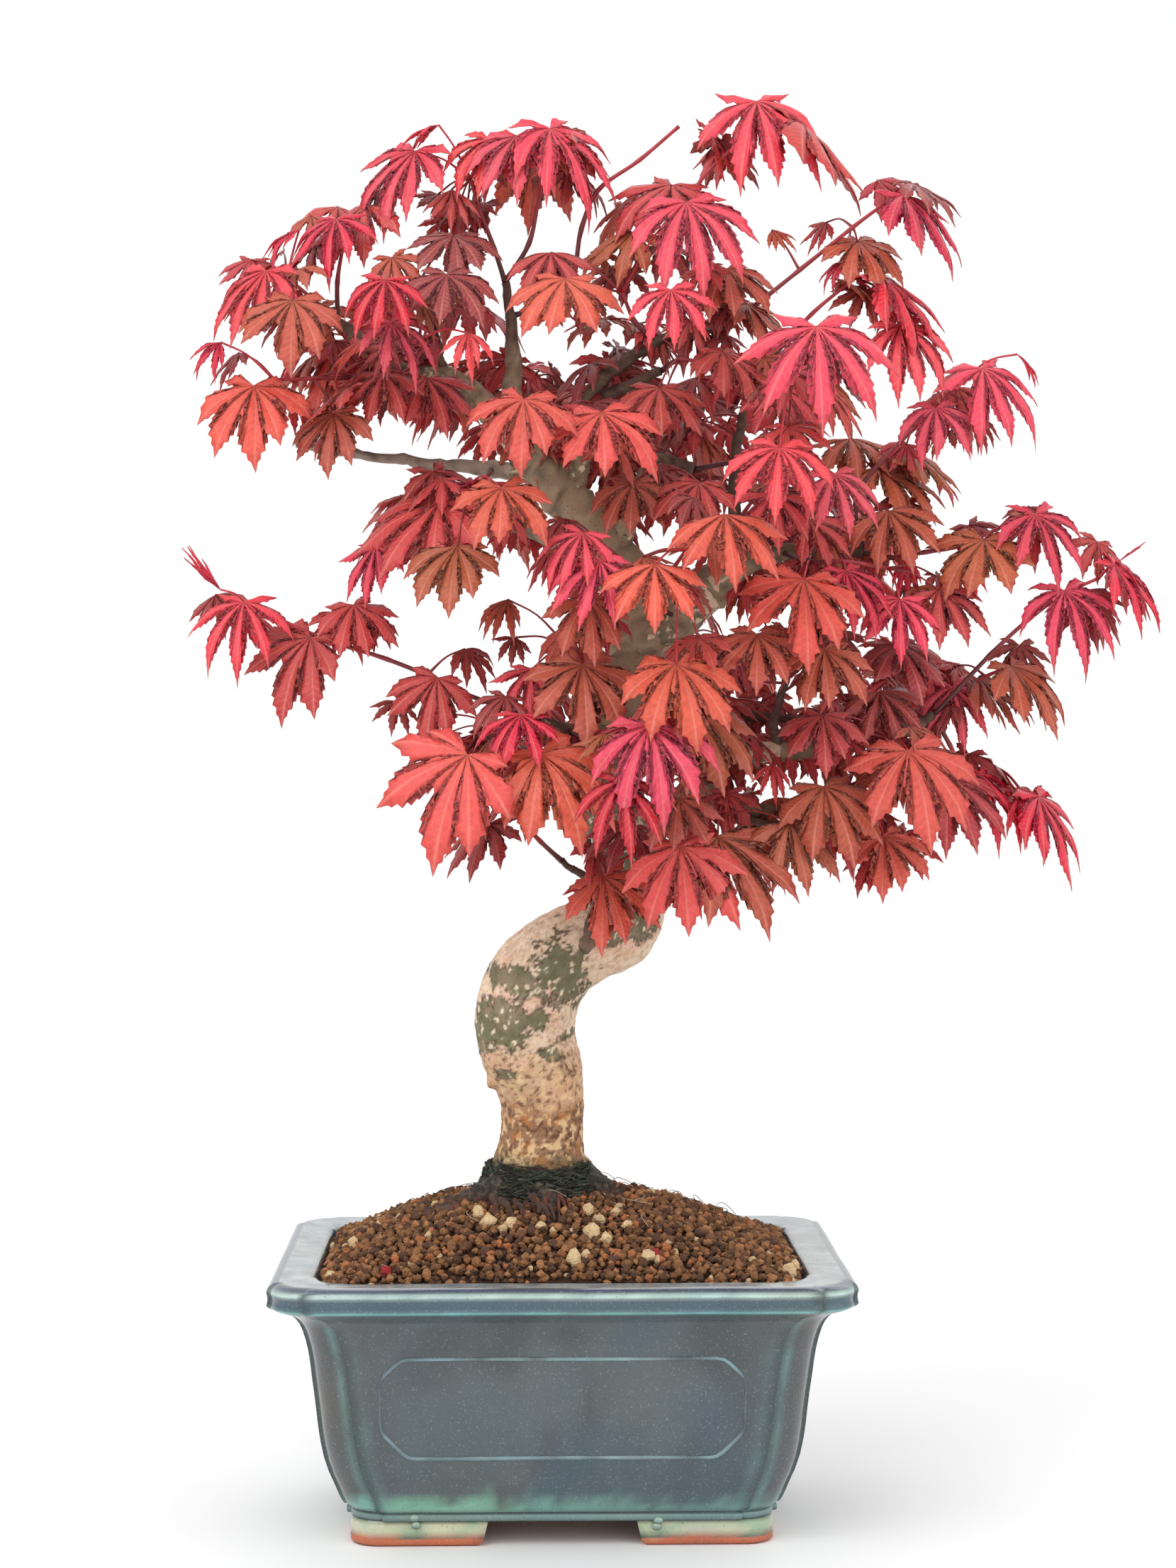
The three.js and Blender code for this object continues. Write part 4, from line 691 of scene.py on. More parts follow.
# Height and inset from the rim's outline, from the wall's foot up over the rim and down inside.
WALL = [
    (9.0, 34), (9.0, 28.2), (9.2, 27.4), (9.8, 27.0), (11.4, 27.0), (11.9, 27.3), (12.2, 27.6),
    (12.5, 27.0), (13.0, 26.1), (14.5, 25.2), (17, 24.2), (21, 22.8), (26, 20.9), (32, 19.2),
    (38, 18.1), (44, 17.3), (50, 16.7), (56, 16.0), (62, 15.2), (68, 14.5), (72, 13.9), (76, 13.1),
    (80, 12.0), (82.5, 11.0), (84.5, 9.7), (86, 8.3), (87.2, 6.6), (88.2, 4.6), (89.0, 2.7),
    (89.7, 1.3), (90.4, 0.4), (91.2, 0.0), (92.2, 0.25), (93.4, 0.4), (94.6, 0.3), (95.6, 0.0),
    (96.4, 0.05), (97.2, 0.4), (97.9, 1.1), (98.5, 2.1), (98.9, 3.4), (99.0, 4.6), (98.9, 6.5),
    (98.8, 10), (98.8, 13), (98.6, 15), (97.9, 16.2), (96.5, 16.9), (94, 17.3), (90, 18), (84, 20),
    (70, 22),
]
LAST_RIM_STATION = 45
INNER_WALL = [(22, 70), (25.5, 50), (30.5, 23), (35, 16), (60, 16.0)]


def glaze_paint(points, insets, inside):
    """Colour and pooling of the glaze at each point."""
    x, y, z = points.T
    brown_ends = smooth_step(0.45, 0.8, np.abs(x) / POT_LENGTH * 2) * ((z > 14) & (z < 88)) * 0.7
    wave = fbm(points, 26, 3)
    fine = fbm(points, 7, 3, 4.0)
    paint = Paint(82, 91, 92)
    paint.coat(68, 74, 74, smooth_step(-0.1, 0.5, wave) * 0.8)
    paint.coat(70, 86, 98, smooth_step(-0.2, 0.3, fbm(points, 45, 2, 9.0)) * 0.75)
    paint.coat(78, 74, 68, brown_ends)
    corner = np.minimum(np.abs(np.abs(x) - (POT_LENGTH / 2 - CORNER - insets)),
                        np.abs(np.abs(y) - (POT_DEPTH / 2 - CORNER - insets)))
    # pooled green at the foot of the wall, strongest to the left of the front
    pool = smooth_step(21, 14, z + 4 * wave + 4 * fine) * smooth_step(12.3, 13.6, z)
    paint.coat(126, 180, 158, pool * (0.45 + 0.5 * smooth_step(50, -60, x)))
    paint.coat(128, 158, 148, smooth_step(9.4, 10.2, z) * smooth_step(12.2, 11.6, z) * 0.8)
    # painted shade: dark lines in the groove above the base band and along the wall's lower edge
    for line in (12.3, 9.15):
        paint.coat(38, 62, 60, bell(z - line, 0.32) * 0.9 * ~inside)
    # the rim: a painted highlight along the roll at the top, blue face, turquoise line at the lower edge
    paint.coat(62, 86, 98, smooth_step(90.6, 92, z) * smooth_step(95.4, 94.4, z) * 0.85)
    paint.coat(198, 220, 208, bell(z - 96.6, 0.9) * (0.85 + 0.3 * fine) * ~inside)
    paint.coat(126, 190, 184, bell(z - 90.4, 0.6) * (0.85 + 0.3 * fine))
    paint.coat(44, 60, 92, bell(z - 98.5, 0.35) * 0.85 * (insets < 5))
    top = (insets > 4.4) & (z > 98.2)
    paint.coat(168, 176, 174, top * (0.7 + 0.6 * fine))
    paint.coat(62, 74, 80, smooth_step(98.4, 96.5, z) * inside)
    # painted shade darkens the corner steps and a painted green highlight runs beside them
    edge = bell(corner, 0.8)
    step_highlight = bell(corner - 2.4, 1.6)
    on_wall = (z > 12) & (z < 90)
    green = step_highlight * on_wall * (0.25 + 0.3 * smooth_step(-0.2, 0.4, fine))
    paint.coat(112, 158, 148, green)
    paint.coat(44, 62, 64, edge * (z > 12.5) * (z < 97.6) * 0.8 * ~inside)
    return np.clip(paint.colour, 0, 1)


def waver(points):
    """Hand-made walls waver a little."""
    return points + fbm(points, 40, 2, 2.0)[:, None] * np.array([0.25, 0.25, 0.12])


def make_pot():
    pot = Soup()
    rings = [pot_ring(inset, height) for height, inset in WALL]
    points = np.concatenate(rings)
    columns = len(rings[0])
    insets = np.repeat([inset for _, inset in WALL], columns)
    inside = np.repeat(np.arange(len(WALL)) > LAST_RIM_STATION, columns)
    colour = glaze_paint(points, insets, inside)
    pot.add(waver(points), grid_faces(len(WALL), columns), colour)
    # underside and inner shell, down to the floor under the gravel
    under = [pot_ring(34, FLOOR_UNDERSIDE), pot_ring(60, FLOOR_UNDERSIDE)]
    shell = [pot_ring(inset, height) for inset, height in INNER_WALL]
    clay = srgb(170, 120, 92)
    pot.add(np.concatenate(under), grid_faces(2, columns)[:, ::-1], clay, (0, 1))
    pot.add(np.concatenate(shell), grid_faces(len(shell), columns), clay, (0, 1))
    add_floor_plate(pot, clay)
    for side_x in (-1, 1):
        for side_y in (-1, 1):
            add_foot(pot, side_x, side_y)
    for side in (-1, 1):
        add_panel_line(pot, side)
    for x, z in ((-54, 10.6), (-53.4, 7.9), (35, 9.2), (34.4, 7.0)):
        add_boss(pot, x, z)
    return pot.piece("glazed_pot", [GLAZE], "pot_glaze", ["pot"])


def add_floor_plate(pot, clay):
    """The floor between the walls, with its two drain holes, as a plate round each hole."""
    half_x = POT_LENGTH / 2 - 59.8
    half_y = POT_DEPTH / 2 - 59.8
    sides = 32
    turns = (np.arange(sides) + 0.5) * 2 * math.pi / sides
    for centre_x, low, high in ((-HOLE_X, -half_x, 0.0), (HOLE_X, 0.0, half_x)):
        hole = together(centre_x + HOLE_RADIUS * np.cos(turns), HOLE_RADIUS * np.sin(turns))
        reach = 200 * together(np.cos(turns), np.sin(turns))
        scale_x = np.where(reach[:, 0] > 0, high - centre_x, low - centre_x) / reach[:, 0]
        scale_y = half_y / np.abs(reach[:, 1])
        outer = np.array([centre_x, 0]) + reach * np.minimum(scale_x, scale_y)[:, None]
        bands = [(outer, FLOOR_UNDERSIDE), (hole, FLOOR_UNDERSIDE), (hole, FLOOR_TOP), (outer, FLOOR_TOP)]
        points = np.concatenate([np.hstack([band, np.full((sides, 1), z)]) for band, z in bands])
        pot.add(points, grid_faces(4, sides), clay, (0, 1))


# Height, shrink and lean of the end faces, from the ground up.
FOOT_LEVELS = [
    (0.0, 0.9, 2.6), (0.5, 0.1, 2.1), (2.2, 0.0, 0.8), (2.7, 0.3, 0.6), (5.5, 0.1, 0.0), (7.6, 0.0, -0.5),
    (8.6, 0.2, -0.8), (9.4, 0.9, -1.0),
]


def add_foot(pot, side_x, side_y):
    """One L-shaped foot under a corner: cream-glazed above, bare terracotta where it stands."""
    rings = []
    for height, shrink, lean in FOOT_LEVELS:
        a = POT_LENGTH / 2 - FOOT_INSET - shrink
        b = POT_DEPTH / 2 - FOOT_INSET - shrink
        end_x = FOOT_GAP_LONG / 2 + lean
        end_y = FOOT_GAP_SHORT / 2 + lean
        inner_a = POT_LENGTH / 2 - FOOT_INSET - FOOT_WIDTH
        inner_b = POT_DEPTH / 2 - FOOT_INSET - FOOT_WIDTH
        radius = CORNER - CORNER_STEP - 2
        turns = np.linspace(math.pi / 2, 0, 8)
        ring = [(x, b) for x in np.linspace(end_x, a - radius, 9)[:-1]]
        ring += [(a - radius + radius * math.cos(t), b - radius + radius * math.sin(t)) for t in turns]
        ring += [(a, y) for y in np.linspace(b - radius, end_y, 5)[1:]]
        ring += [(inner_a, end_y), (inner_a, inner_b), (end_x, inner_b)]
        rings.append([(x * side_x, y * side_y, height) for x, y in ring])
    columns = len(rings[0])
    points = np.concatenate(rings)
    z = points[:, 2]
    drip = fbm(points, 9, 3, 7.0)
    bare = smooth_step(2.9, 2.3, z + 0.5 * drip)
    paint = Paint(202, 200, 168)
    paint.coat(168, 188, 154, smooth_step(0.1, 0.5, drip + 0.2))
    paint.coat(60, 62, 46, bell(z - 2.7, 0.35) * 0.85)
    # painted shade: the top of the foot, under the pot's base, is darkened
    paint.coat(48, 66, 58, smooth_step(8.2, 9.2, z))
    paint.coat(196, 104, 70, bare)
    faces = grid_faces(len(FOOT_LEVELS), columns)
    if side_x * side_y > 0:
        faces = faces[:, ::-1]
    pot.add(points, [faces], paint.colour, together(0 * bare, bare))
    add_sole(pot, rings[0], side_x * side_y > 0)


def add_sole(pot, ring, turned):
    """Closes a foot underneath: a fan from its inner corner, which sees the whole L."""
    ring = np.array(ring)
    count = len(ring)
    heart = count - 2
    faces = [[heart, k, k + 1] for k in range(count - 3)] + [[heart, count - 1, 0]]
    faces = np.array(faces)
    pot.add(ring, faces if turned else faces[:, ::-1], srgb(196, 104, 70), (0, 1))


def wall_inset(height):
    heights = [h for h, _ in WALL[9:32]]
    insets = [i for _, i in WALL[9:32]]
    return np.interp(height, heights, insets)


def add_panel_line(pot, side):
    """The raised eight-sided line on a long wall, softened and thinned by the glaze."""
    half_width, low, high = 66.0, 34.5, 71.5
    corners = [(-58, high), (58, high), (half_width, 64), (half_width, 44.5), (56, low), (-56, low),
               (-half_width, 44.5), (-half_width, 64)]
    path = []
    for (x0, z0), (x1, z1) in zip(corners, corners[1:] + corners[:1]):
        steps = max(2, int(math.hypot(x1 - x0, z1 - z0) / 2.5))
        for t in np.arange(steps) / steps:
            path.append((x0 + (x1 - x0) * t, z0 + (z1 - z0) * t))
    path = np.array(path)
    path = (np.roll(path, 1, axis=0) + 2 * path + np.roll(path, -1, axis=0)) / 4
    wall_y = POT_DEPTH / 2 - wall_inset(path[:, 1])
    centres = waver(together(path[:, 0], side * (wall_y - 0.1), path[:, 1]))
    tangent = unit(np.roll(centres, -1, axis=0) - np.roll(centres, 1, axis=0))
    out = np.array([0, side, 0.0])
    across = unit(np.cross(tangent, out))
    slanted = np.abs(tangent[:, 2]) > 0.9
    fade = 1 - 0.35 * slanted + 0.25 * fbm(centres, 9, 2)
    sides = 8
    rings = []
    for t in np.arange(sides) * 2 * math.pi / sides:
        rings.append(centres + across * (0.75 * math.cos(t) * fade)[:, None]
                     + out * (0.72 * math.sin(t) * fade)[:, None])
    points = np.stack(rings, axis=1).reshape(-1, 3)
    count = len(path)
    faces = grid_faces(count + 1, sides) % (count * sides)
    pale = np.repeat(np.clip(0.5 + 0.7 * fbm(centres, 12, 2, 3.0) - 0.5 * slanted, 0, 1), sides)
    colour = blend(srgb(80, 90, 92), srgb(140, 164, 168), pale)
    pot.add(points, faces if side > 0 else faces[:, ::-1], colour)


def add_boss(pot, x, z):
    """A bead of glaze that ran down and stuck."""
    y = -(POT_DEPTH / 2 - 27.4)
    corners, faces = PEBBLE
    points = corners * np.array([1.9, 1.3, 1.5]) + np.array([x, y, z])
    shade = smooth_step(-1, 1, corners[:, 2])
    colour = blend(srgb(92, 112, 108), srgb(166, 190, 170), shade)
    pot.add(points, faces, colour)


make_pot()

# ---------------------------------------------------------------- soil
GROUND_EDGE = 97.0
GROUND_RISE = 27.0
MOUND_HALF_LENGTH = 90
MOUND_HALF_DEPTH = 66
SOIL_INSET = 17.0
SOIL_CORNER = 9.0
BED_UNDER_GRAINS = 2.2
BED_UNDERSIDE = 72
GRAIN_SPACING = 2.75


def ground(x, y):
    """Height of the mounded soil."""
    along_x = 1 - np.minimum(np.abs(x) / MOUND_HALF_LENGTH, 1) ** np.where(np.asarray(x) < 0, 2.5, 2.0)
    along_y = 1 - np.minimum(np.abs(y) / MOUND_HALF_DEPTH, 1) ** 2.0
    return GROUND_EDGE + GROUND_RISE * along_x * along_y


wood_stations = [np.asarray(limb, float) for limb in [TRUNK, *BRANCHES]]
low_wood = np.vstack([spline(limb, 6) for limb in [TRUNK[:5], *ROOTS]])


def in_wood(x, y, z, clearance):
    gap = np.linalg.norm(low_wood[:, :3] - np.array([x, y, z]), axis=1) - low_wood[:, 3]
    return gap.min() < clearance


# Pumice that shows best, near the foot of the trunk and at the right-hand end: x, y, radius.
LARGE_PUMICE = [
    (-31, -30, 2.8), (-27, -36, 3.4), (-19, -38, 3.2), (-8, -40, 2.2), (10, -30, 2.4), (14, -36, 3.0),
    (11, -44, 3.6), (16, -46, 2.6), (4, -56, 3.5), (31, -54, 3.2), (24, -38, 2.5), (83, -52, 3.2),
    (86, -40, 2.4), (-84, -54, 2.6), (-78, -20, 2.3), (20, -30, 2.2),
]


def make_soil():
    half_x = POT_LENGTH / 2 - SOIL_INSET
    half_y = POT_DEPTH / 2 - SOIL_INSET
    columns, rows = 60, 46
    xs, ys = np.meshgrid(np.linspace(-half_x, half_x, columns), np.linspace(-half_y, half_y, rows))
    # the bed keeps to the pot's rounded inner corners
    corner = SOIL_CORNER
    over_x = np.maximum(np.abs(xs) - (half_x - corner), 0)
    over_y = np.maximum(np.abs(ys) - (half_y - corner), 0)
    reach = np.hypot(over_x, over_y)
    pull = np.where(reach > corner, corner / np.maximum(reach, 1e-6), 1)
    xs = np.where(over_x > 0, np.sign(xs) * (half_x - corner + over_x * pull), xs)
    ys = np.where(over_y > 0, np.sign(ys) * (half_y - corner + over_y * pull), ys)
    tops = together(xs, ys, ground(xs, ys) - BED_UNDER_GRAINS).reshape(-1, 3)
    tops[:, 2] += 0.8 * fbm(tops, 5, 3)
    bottoms = tops * np.array([0.97, 0.97, 0]) + np.array([0, 0, BED_UNDERSIDE])
    bed = Soup()
    faces = grid_faces(rows, columns, closed=False)
    count = rows * columns
    grid = np.arange(count).reshape(rows, columns)
    edge = [*grid[0], *grid[1:, -1], *grid[-1, -2::-1], *grid[-2:0:-1, 0]]
    skirt = np.array([[a, a + count, b + count, b] for a, b in zip(edge, edge[1:] + edge[:1])])
    bed.add(np.vstack([tops, bottoms]), [faces, faces[:, ::-1] + count, skirt], srgb(66, 42, 28))
    bed.piece("soil_bed", [CLAY_GRAIN], "soil", ["soil"])

    clay_front, clay_back, pumice = Soup(), Soup(), Soup()
    browns = [srgb(142, 98, 62), srgb(160, 112, 72), srgb(118, 80, 54), srgb(178, 126, 82),
              srgb(98, 68, 50)]
    orange, cream = srgb(190, 118, 74), srgb(232, 204, 160)
    seed = 0
    for layer, lift in ((0, -1.9), (1, -0.3)):
        for row in range(-26, 27):
            for column in range(-35, 36):
                seed += 1
                x = (column + 0.5 * (row % 2) + 1.3 * (vary(seed) - 0.5) + 0.4 * layer) * GRAIN_SPACING
                y = (row + 1.3 * (vary(seed + 0.5) - 0.5) + 0.4 * layer) * GRAIN_SPACING * 0.92
                over = max(abs(x) - (half_x - corner - 1.2), 0), max(abs(y) - (half_y - corner - 1.2), 0)
                if math.hypot(*over) > corner - 0.6:
                    continue
                size = 1.1 + 1.15 * vary(seed + 0.25) ** 1.8
                z = float(ground(x, y)) + lift + 0.9 * (vary(seed + 0.75) - 0.5)
                if in_wood(x, y, z, -0.6):
                    continue
                kind = vary(seed + 0.9)
                squash = 0.72 + 0.25 * vary(seed + 0.1)
                form = PEBBLE if layer else CRUMB
                turn = vary(seed + 0.33)
                if kind > 0.975:
                    add_grain(pumice, (x, y, z), size, squash, turn, cream * (0.8 + 0.2 * vary(seed)), form)
                    continue
                colour = (orange if kind > 0.90 else browns[seed % 5]) * (0.78 + 0.4 * vary(seed + 0.4))
                target = clay_front if y < 2 else clay_back
                add_grain(target, (x, y, z), size, squash, turn, colour, form)
    for x, y, size in LARGE_PUMICE:
        seed += 1
        place = x, y, float(ground(x, y)) + 0.9
        add_grain(pumice, place, size, 0.62, vary(seed), cream * (0.9 + 0.15 * vary(seed)))
    for x, y, size in ((-64, -58, 1.9), (34, -52, 1.6)):
        place = x, y, float(ground(x, y)) + 1.0
        add_grain(clay_front, place, size, 1.5, 0.4, srgb(178, 44, 52))
    clay_front.piece("clay_grains_front", [CLAY_GRAIN], "soil", smooth=False)
    clay_back.piece("clay_grains_back", [CLAY_GRAIN], "soil", smooth=False)
    pumice.piece("pumice_grains", [PUMICE_GRAIN], "soil", smooth=False)


make_soil()

# ---------------------------------------------------------------- wood
KNOT = 3.5, 171
CRACK_START = -10, 176
CRACK_WAY = 0.91, 0.42


def knot_and_crack(x, y, z):
    """Distance from the healed knot, places along the crack and off it, and how far to the front."""
    from_knot = np.hypot(x - KNOT[0], z - KNOT[1])
    dx, dz = x - CRACK_START[0], z - CRACK_START[1]
    along = dx * CRACK_WAY[0] + dz * CRACK_WAY[1]
    off = dz * CRACK_WAY[0] - dx * CRACK_WAY[1]
    return from_knot, along, off, smooth_step(-6, -12, y)


def bark_relief(points):
    """How far the bark stands proud at each point: swellings, wrinkles, pits and warts."""
    x, y, z = points.T
    around = together(x, y, z * 0.55)
    swell = fbm(around, 17, 2, 1.0) * 0.9
    wrinkle = fbm(together(x * 0.7, y * 0.7, z * 1.6), 4.2, 3, 3.0)
    pitted = smooth_step(128, 136, z) * smooth_step(166, 156, z) + 0.4 * smooth_step(185, 172, z) * (z > 160)
    pits = fbm(points, 2.3, 3, 6.0)
    low = smooth_step(132, 124, z)
    relief = swell + wrinkle * (0.28 + 0.25 * low) - pitted * np.maximum(pits, 0) * 0.75
    relief += low * fbm(together(x, y, z * 1.6), 3.4, 3, 8.0) * 2.3
    # the healed knot: a ring round a shallow dish, on the front
    from_knot, along, off, front = knot_and_crack(x, y, z)
    relief += front * (0.9 * bell(from_knot - 3.6, 0.8) - 0.7 * bell(from_knot, 2.4))
    # the crack that runs up to the right above it, and the fold inside the bend
    crack = bell(off, 0.5) * smooth_step(-1, 1, along) * smooth_step(15, 13, along) * front
    relief -= 0.7 * crack
    fold = bell(z - 205 - 0.6 * (x - 12), 1.3) * smooth_step(3, 9, x) * smooth_step(30, 22, x)
    return relief - 1.2 * fold


# Olive patches where the skin has peeled: x, z, half width, half height, tilt in degrees, side.
PATCHES = [
    (0, 207, 8, 12, 12, -1), (-16, 203, 11, 4.8, -18, -1), (-22, 188, 9.5, 7.5, -35, -1),
    (-30, 182, 4, 6, 0, -1), (-9, 189, 4, 3, 20, -1), (-4, 175.5, 3.6, 2.4, -10, -1),
    (-21, 168, 3.4, 1.8, 0, -1), (2, 182.5, 3.4, 1.4, 25, -1), (16, 220.5, 6, 4.6, 20, -1),
    (29, 226, 7.5, 6.5, 40, -1), (22, 246, 9, 8, 0, -1), (14, 262, 6, 7, 0, -1), (22, 284, 8, 9, 0, -1),
    (14, 300, 7, 7, 0, -1), (30, 316, 8, 9, 0, -1), (-16, 195, 9, 8, 30, 1), (2, 208, 8, 5, 0, 1),
    (-8, 176, 5, 4, 0, 1), (22, 224, 8, 6, 0, 1), (24, 250, 9, 12, 0, 1), (18, 284, 8, 10, 0, 1),
    (28, 320, 9, 10, 0, 1), (26, 350, 9, 8, 0, 1), (26, 352, 8, 8, 0, -1), (8, 378, 9, 6, 0, -1),
]


def bark_paint(points, normals):
    """Colour of old bark at each point, and how pitted it is."""
    x, y, z = points.T
    wide = fbm(points, 15, 3, 11.0)
    fine = fbm(points, 2.6, 3, 13.0)
    tiny = fbm(points, 1.3, 2, 17.0)
    paint = Paint(233, 210, 184)
    paint.coat(231, 192, 170, smooth_step(-0.05, 0.35, wide) * 0.85)
    paint.coat(214, 180, 138, smooth_step(0.1, 0.5, fine) * 0.6)
    tan = smooth_step(184, 168, z + 5 * wide) * smooth_step(146, 156, z)
    paint.coat(202, 156, 112, tan * 0.6)
    brown = smooth_step(163, 150, z + 6 * wide)
    paint.coat(142, 100, 68, brown * 0.9)
    # peeled patches, edged dark and crumbling into dots at their rims
    field = np.full(len(points), -9.0)
    for px, pz, wide_half, high_half, tilt, side in PATCHES:
        c, s = math.cos(math.radians(tilt)), math.sin(math.radians(tilt))
        u = ((x - px) * c + (z - pz) * s) / wide_half
        v = (-(x - px) * s + (z - pz) * c) / high_half
        here = 1.16 - np.sqrt(u * u + v * v)
        here = np.where(normals[:, 1] * side > -0.35, here, -9)
        field = np.maximum(field, here)
    upper = smooth_step(236, 252, z)
    field = np.maximum(field, -0.5 + 1.2 * upper * smooth_step(-0.3, 0.2, wide))
    field = field * 1.5 + 0.8 * fbm(points, 4.5, 3, 19.0) + 0.6 * tiny
    rim = bell(field - 0.06, 0.14) * (field > -0.3)
    peeled = smooth_step(0.04, 0.13, field)
    olive = blend(srgb(116, 112, 84), srgb(140, 126, 102), smooth_step(-0.1, 0.35, wide))
    olive = blend(olive, srgb(96, 98, 68), smooth_step(0.0, 0.4, fine) * 0.6)
    paint.colour = blend(paint.colour, olive, peeled)
    low, high = 0.40 - 0.16 * upper, 0.48 - 0.14 * upper
    dots = smooth_step(low, high, fbm(points, 2.6, 2, 23.0)) * peeled
    paint.coat(236, 222, 196, dots * 0.95)
    paint.coat(62, 42, 28, rim * 0.9)
    # a net of fine cracks, strongest low down
    net = bell(fbm(points, 4.4, 3, 41.0), 0.05) * smooth_step(-0.15, 0.2, fbm(points, 9, 2, 43.0))
    net_depth = net * (0.35 + 0.5 * np.maximum(brown, tan * 0.6)) * (1 - peeled)
    paint.coat(74, 46, 28, net_depth)
    # pores and short cracks
    pore = smooth_step(0.14, 0.34, fbm(points, 2.0, 3, 29.0)) * (0.30 + 0.70 * np.maximum(brown, tan * 0.85))
    paint.coat(96, 58, 34, pore * 0.85 * (1 - peeled))
    light = smooth_step(0.12, 0.3, fbm(points, 2.8, 3, 31.0)) * np.maximum(brown, tan * 0.7)
    paint.coat(240, 206, 158, light * 0.8)
    rust = smooth_step(0.2, 0.45, fbm(points, 4.0, 3, 37.0)) * brown
    paint.coat(190, 116, 50, rust * 0.6)
    from_knot, along, off, front = knot_and_crack(x, y, z)
    paint.coat(84, 52, 30, front * bell(from_knot - 3.7 - tiny, 0.6) * 0.55)
    crack = bell(off + 0.5 * tiny, 0.42) * smooth_step(-1, 1, along) * smooth_step(15, 13, along) * front
    paint.coat(50, 34, 24, crack * 0.9)
    # moss-dark foot
    foot = smooth_step(135.5, 131.5, z + 3.0 * fine + 1.5 * wide)
    mossy = smooth_step(140, 132, z + 3 * wide) * (1 - foot)
    paint.coat(120, 116, 74, mossy * 0.6)
    paint.coat(34, 34, 29, foot * 0.98)
    paint.coat(96, 86, 72, foot * smooth_step(0.12, 0.34, fbm(points, 3.0, 3, 47.0)) * 0.8)
    root = smooth_step(125, 120, z + 2 * wide)
    paint.coat(98, 60, 48, root * 0.9 * smooth_step(-0.4, 0.1, fine))
    pitted = np.clip(brown + 0.4 * tan + foot, 0, 1)
    return np.clip(paint.colour, 0, 1), pitted


def fused(soup, voxel):
    """Melts overlapping tubes into one skin. Returns its points, normals and quads in mm."""
    mesh = soup.mesh("melt")
    obj = add_object("melt", mesh)
    remesh = obj.modifiers.new("melt", "REMESH")
    remesh.mode = "VOXEL"
    remesh.voxel_size = voxel * MM
    relax = obj.modifiers.new("relax", "SMOOTH")
    relax.factor = 0.5
    relax.iterations = 5
    evaluated = obj.evaluated_get(bpy.context.evaluated_depsgraph_get())
    melted = bpy.data.meshes.new_from_object(evaluated)
    count = len(melted.vertices)
    points = np.empty(count * 3)
    normals = np.empty(count * 3)
    melted.vertices.foreach_get("co", points)
    melted.vertices.foreach_get("normal", normals)
    corners = np.empty(len(melted.loops), int)
    melted.loops.foreach_get("vertex_index", corners)
    quads = corners.reshape(-1, 4)
    bpy.data.objects.remove(obj)
    bpy.data.meshes.remove(mesh)
    bpy.data.meshes.remove(melted)
    return (points.reshape(-1, 3) - POT_CENTRE) / MM, normals.reshape(-1, 3), quads


THICK = 3.0
BARK_GRID = 0.85
HAIRS, KNUCKLES, LOOSE_HAIRS = 900, 14, 70
ROOT_SINK = 3.0
BARE_TWIG = 14
FIBRE_SHADES = [srgb(38, 40, 34), srgb(58, 60, 52), srgb(30, 28, 26), srgb(84, 80, 66), srgb(52, 66, 48)]


def make_trunk():
    core = Soup()
    core.add(*tube(spline(TRUNK[:19], 6), 28))
    core.add(*tube(spline(KNOB, 5), 14))
    for number, root in enumerate(ROOTS):
        path = spline(root, 6)
        if number > 0:
            path[:, 2] -= ROOT_SINK * smooth_step(130, 118, path[:, 2])
        core.add(*tube(path, 14))
    for branch in BRANCHES[2:]:
        thick = [station for station in branch if station[3] >= THICK]
        if len(thick) > 1:
            core.add(*tube(spline(thick, 5), 14))
    points, normals, quads = fused(core, BARK_GRID)
    points = points + normals * bark_relief(points)[:, None]
    colour, pitted = bark_paint(points, normals)
    trunk = Soup()
    trunk.add(points, quads, colour, together(pitted, pitted))
    trunk.piece("trunk_bark", [BARK], "bark", ["trunk"])


def make_twigs():
    """Thin wood, from the fused limbs out to the last fork: knobbly, dark, paler where it is older."""
    twigs = Soup()
    limbs = [*BRANCHES, TRUNK[17:]]
    for number, branch in enumerate(limbs):
        path = spline(branch, 7)
        steps = np.arange(len(path))
        node = 1 + 0.16 * bell(steps % 7, 1.2) + 0.05 * np.sin(steps * 2.7 + number)
        path[:, 3] *= node
        sway = together(np.sin(steps * 0.9 + number), np.cos(steps * 1.3 + number), np.sin(steps * 0.7))
        path[:, :3] += 0.35 * sway * smooth_step(0, 6, steps)[:, None]
        points, faces = tube(path, 10)
        ring = np.append(np.repeat(np.arange(len(path)), 10), [0, len(path) - 1])
        radius = path[ring, 3]
        grain = fbm(points, 3.4, 3, number)
        points = points + unit(points - path[ring, :3]) * (grain * 0.14 * radius)[:, None]
        bare_and_dry = number == BARE_TWIG
        dark = srgb(150, 134, 122) if bare_and_dry else srgb(84, 58, 50)
        pale = srgb(205, 190, 172) if bare_and_dry else srgb(170, 150, 122)
        age = smooth_step(1.6, 4.5, radius)
        colour = blend(dark, pale, np.clip(age + 0.5 * grain, 0, 1))
        colour = blend(colour, srgb(40, 30, 28), smooth_step(0.15, 0.4, grain) * 0.6)
        twigs.add(points, faces, np.clip(colour, 0, 1), (0.25, 0))
    twigs.piece("twig_bark", [BARK], "bark")


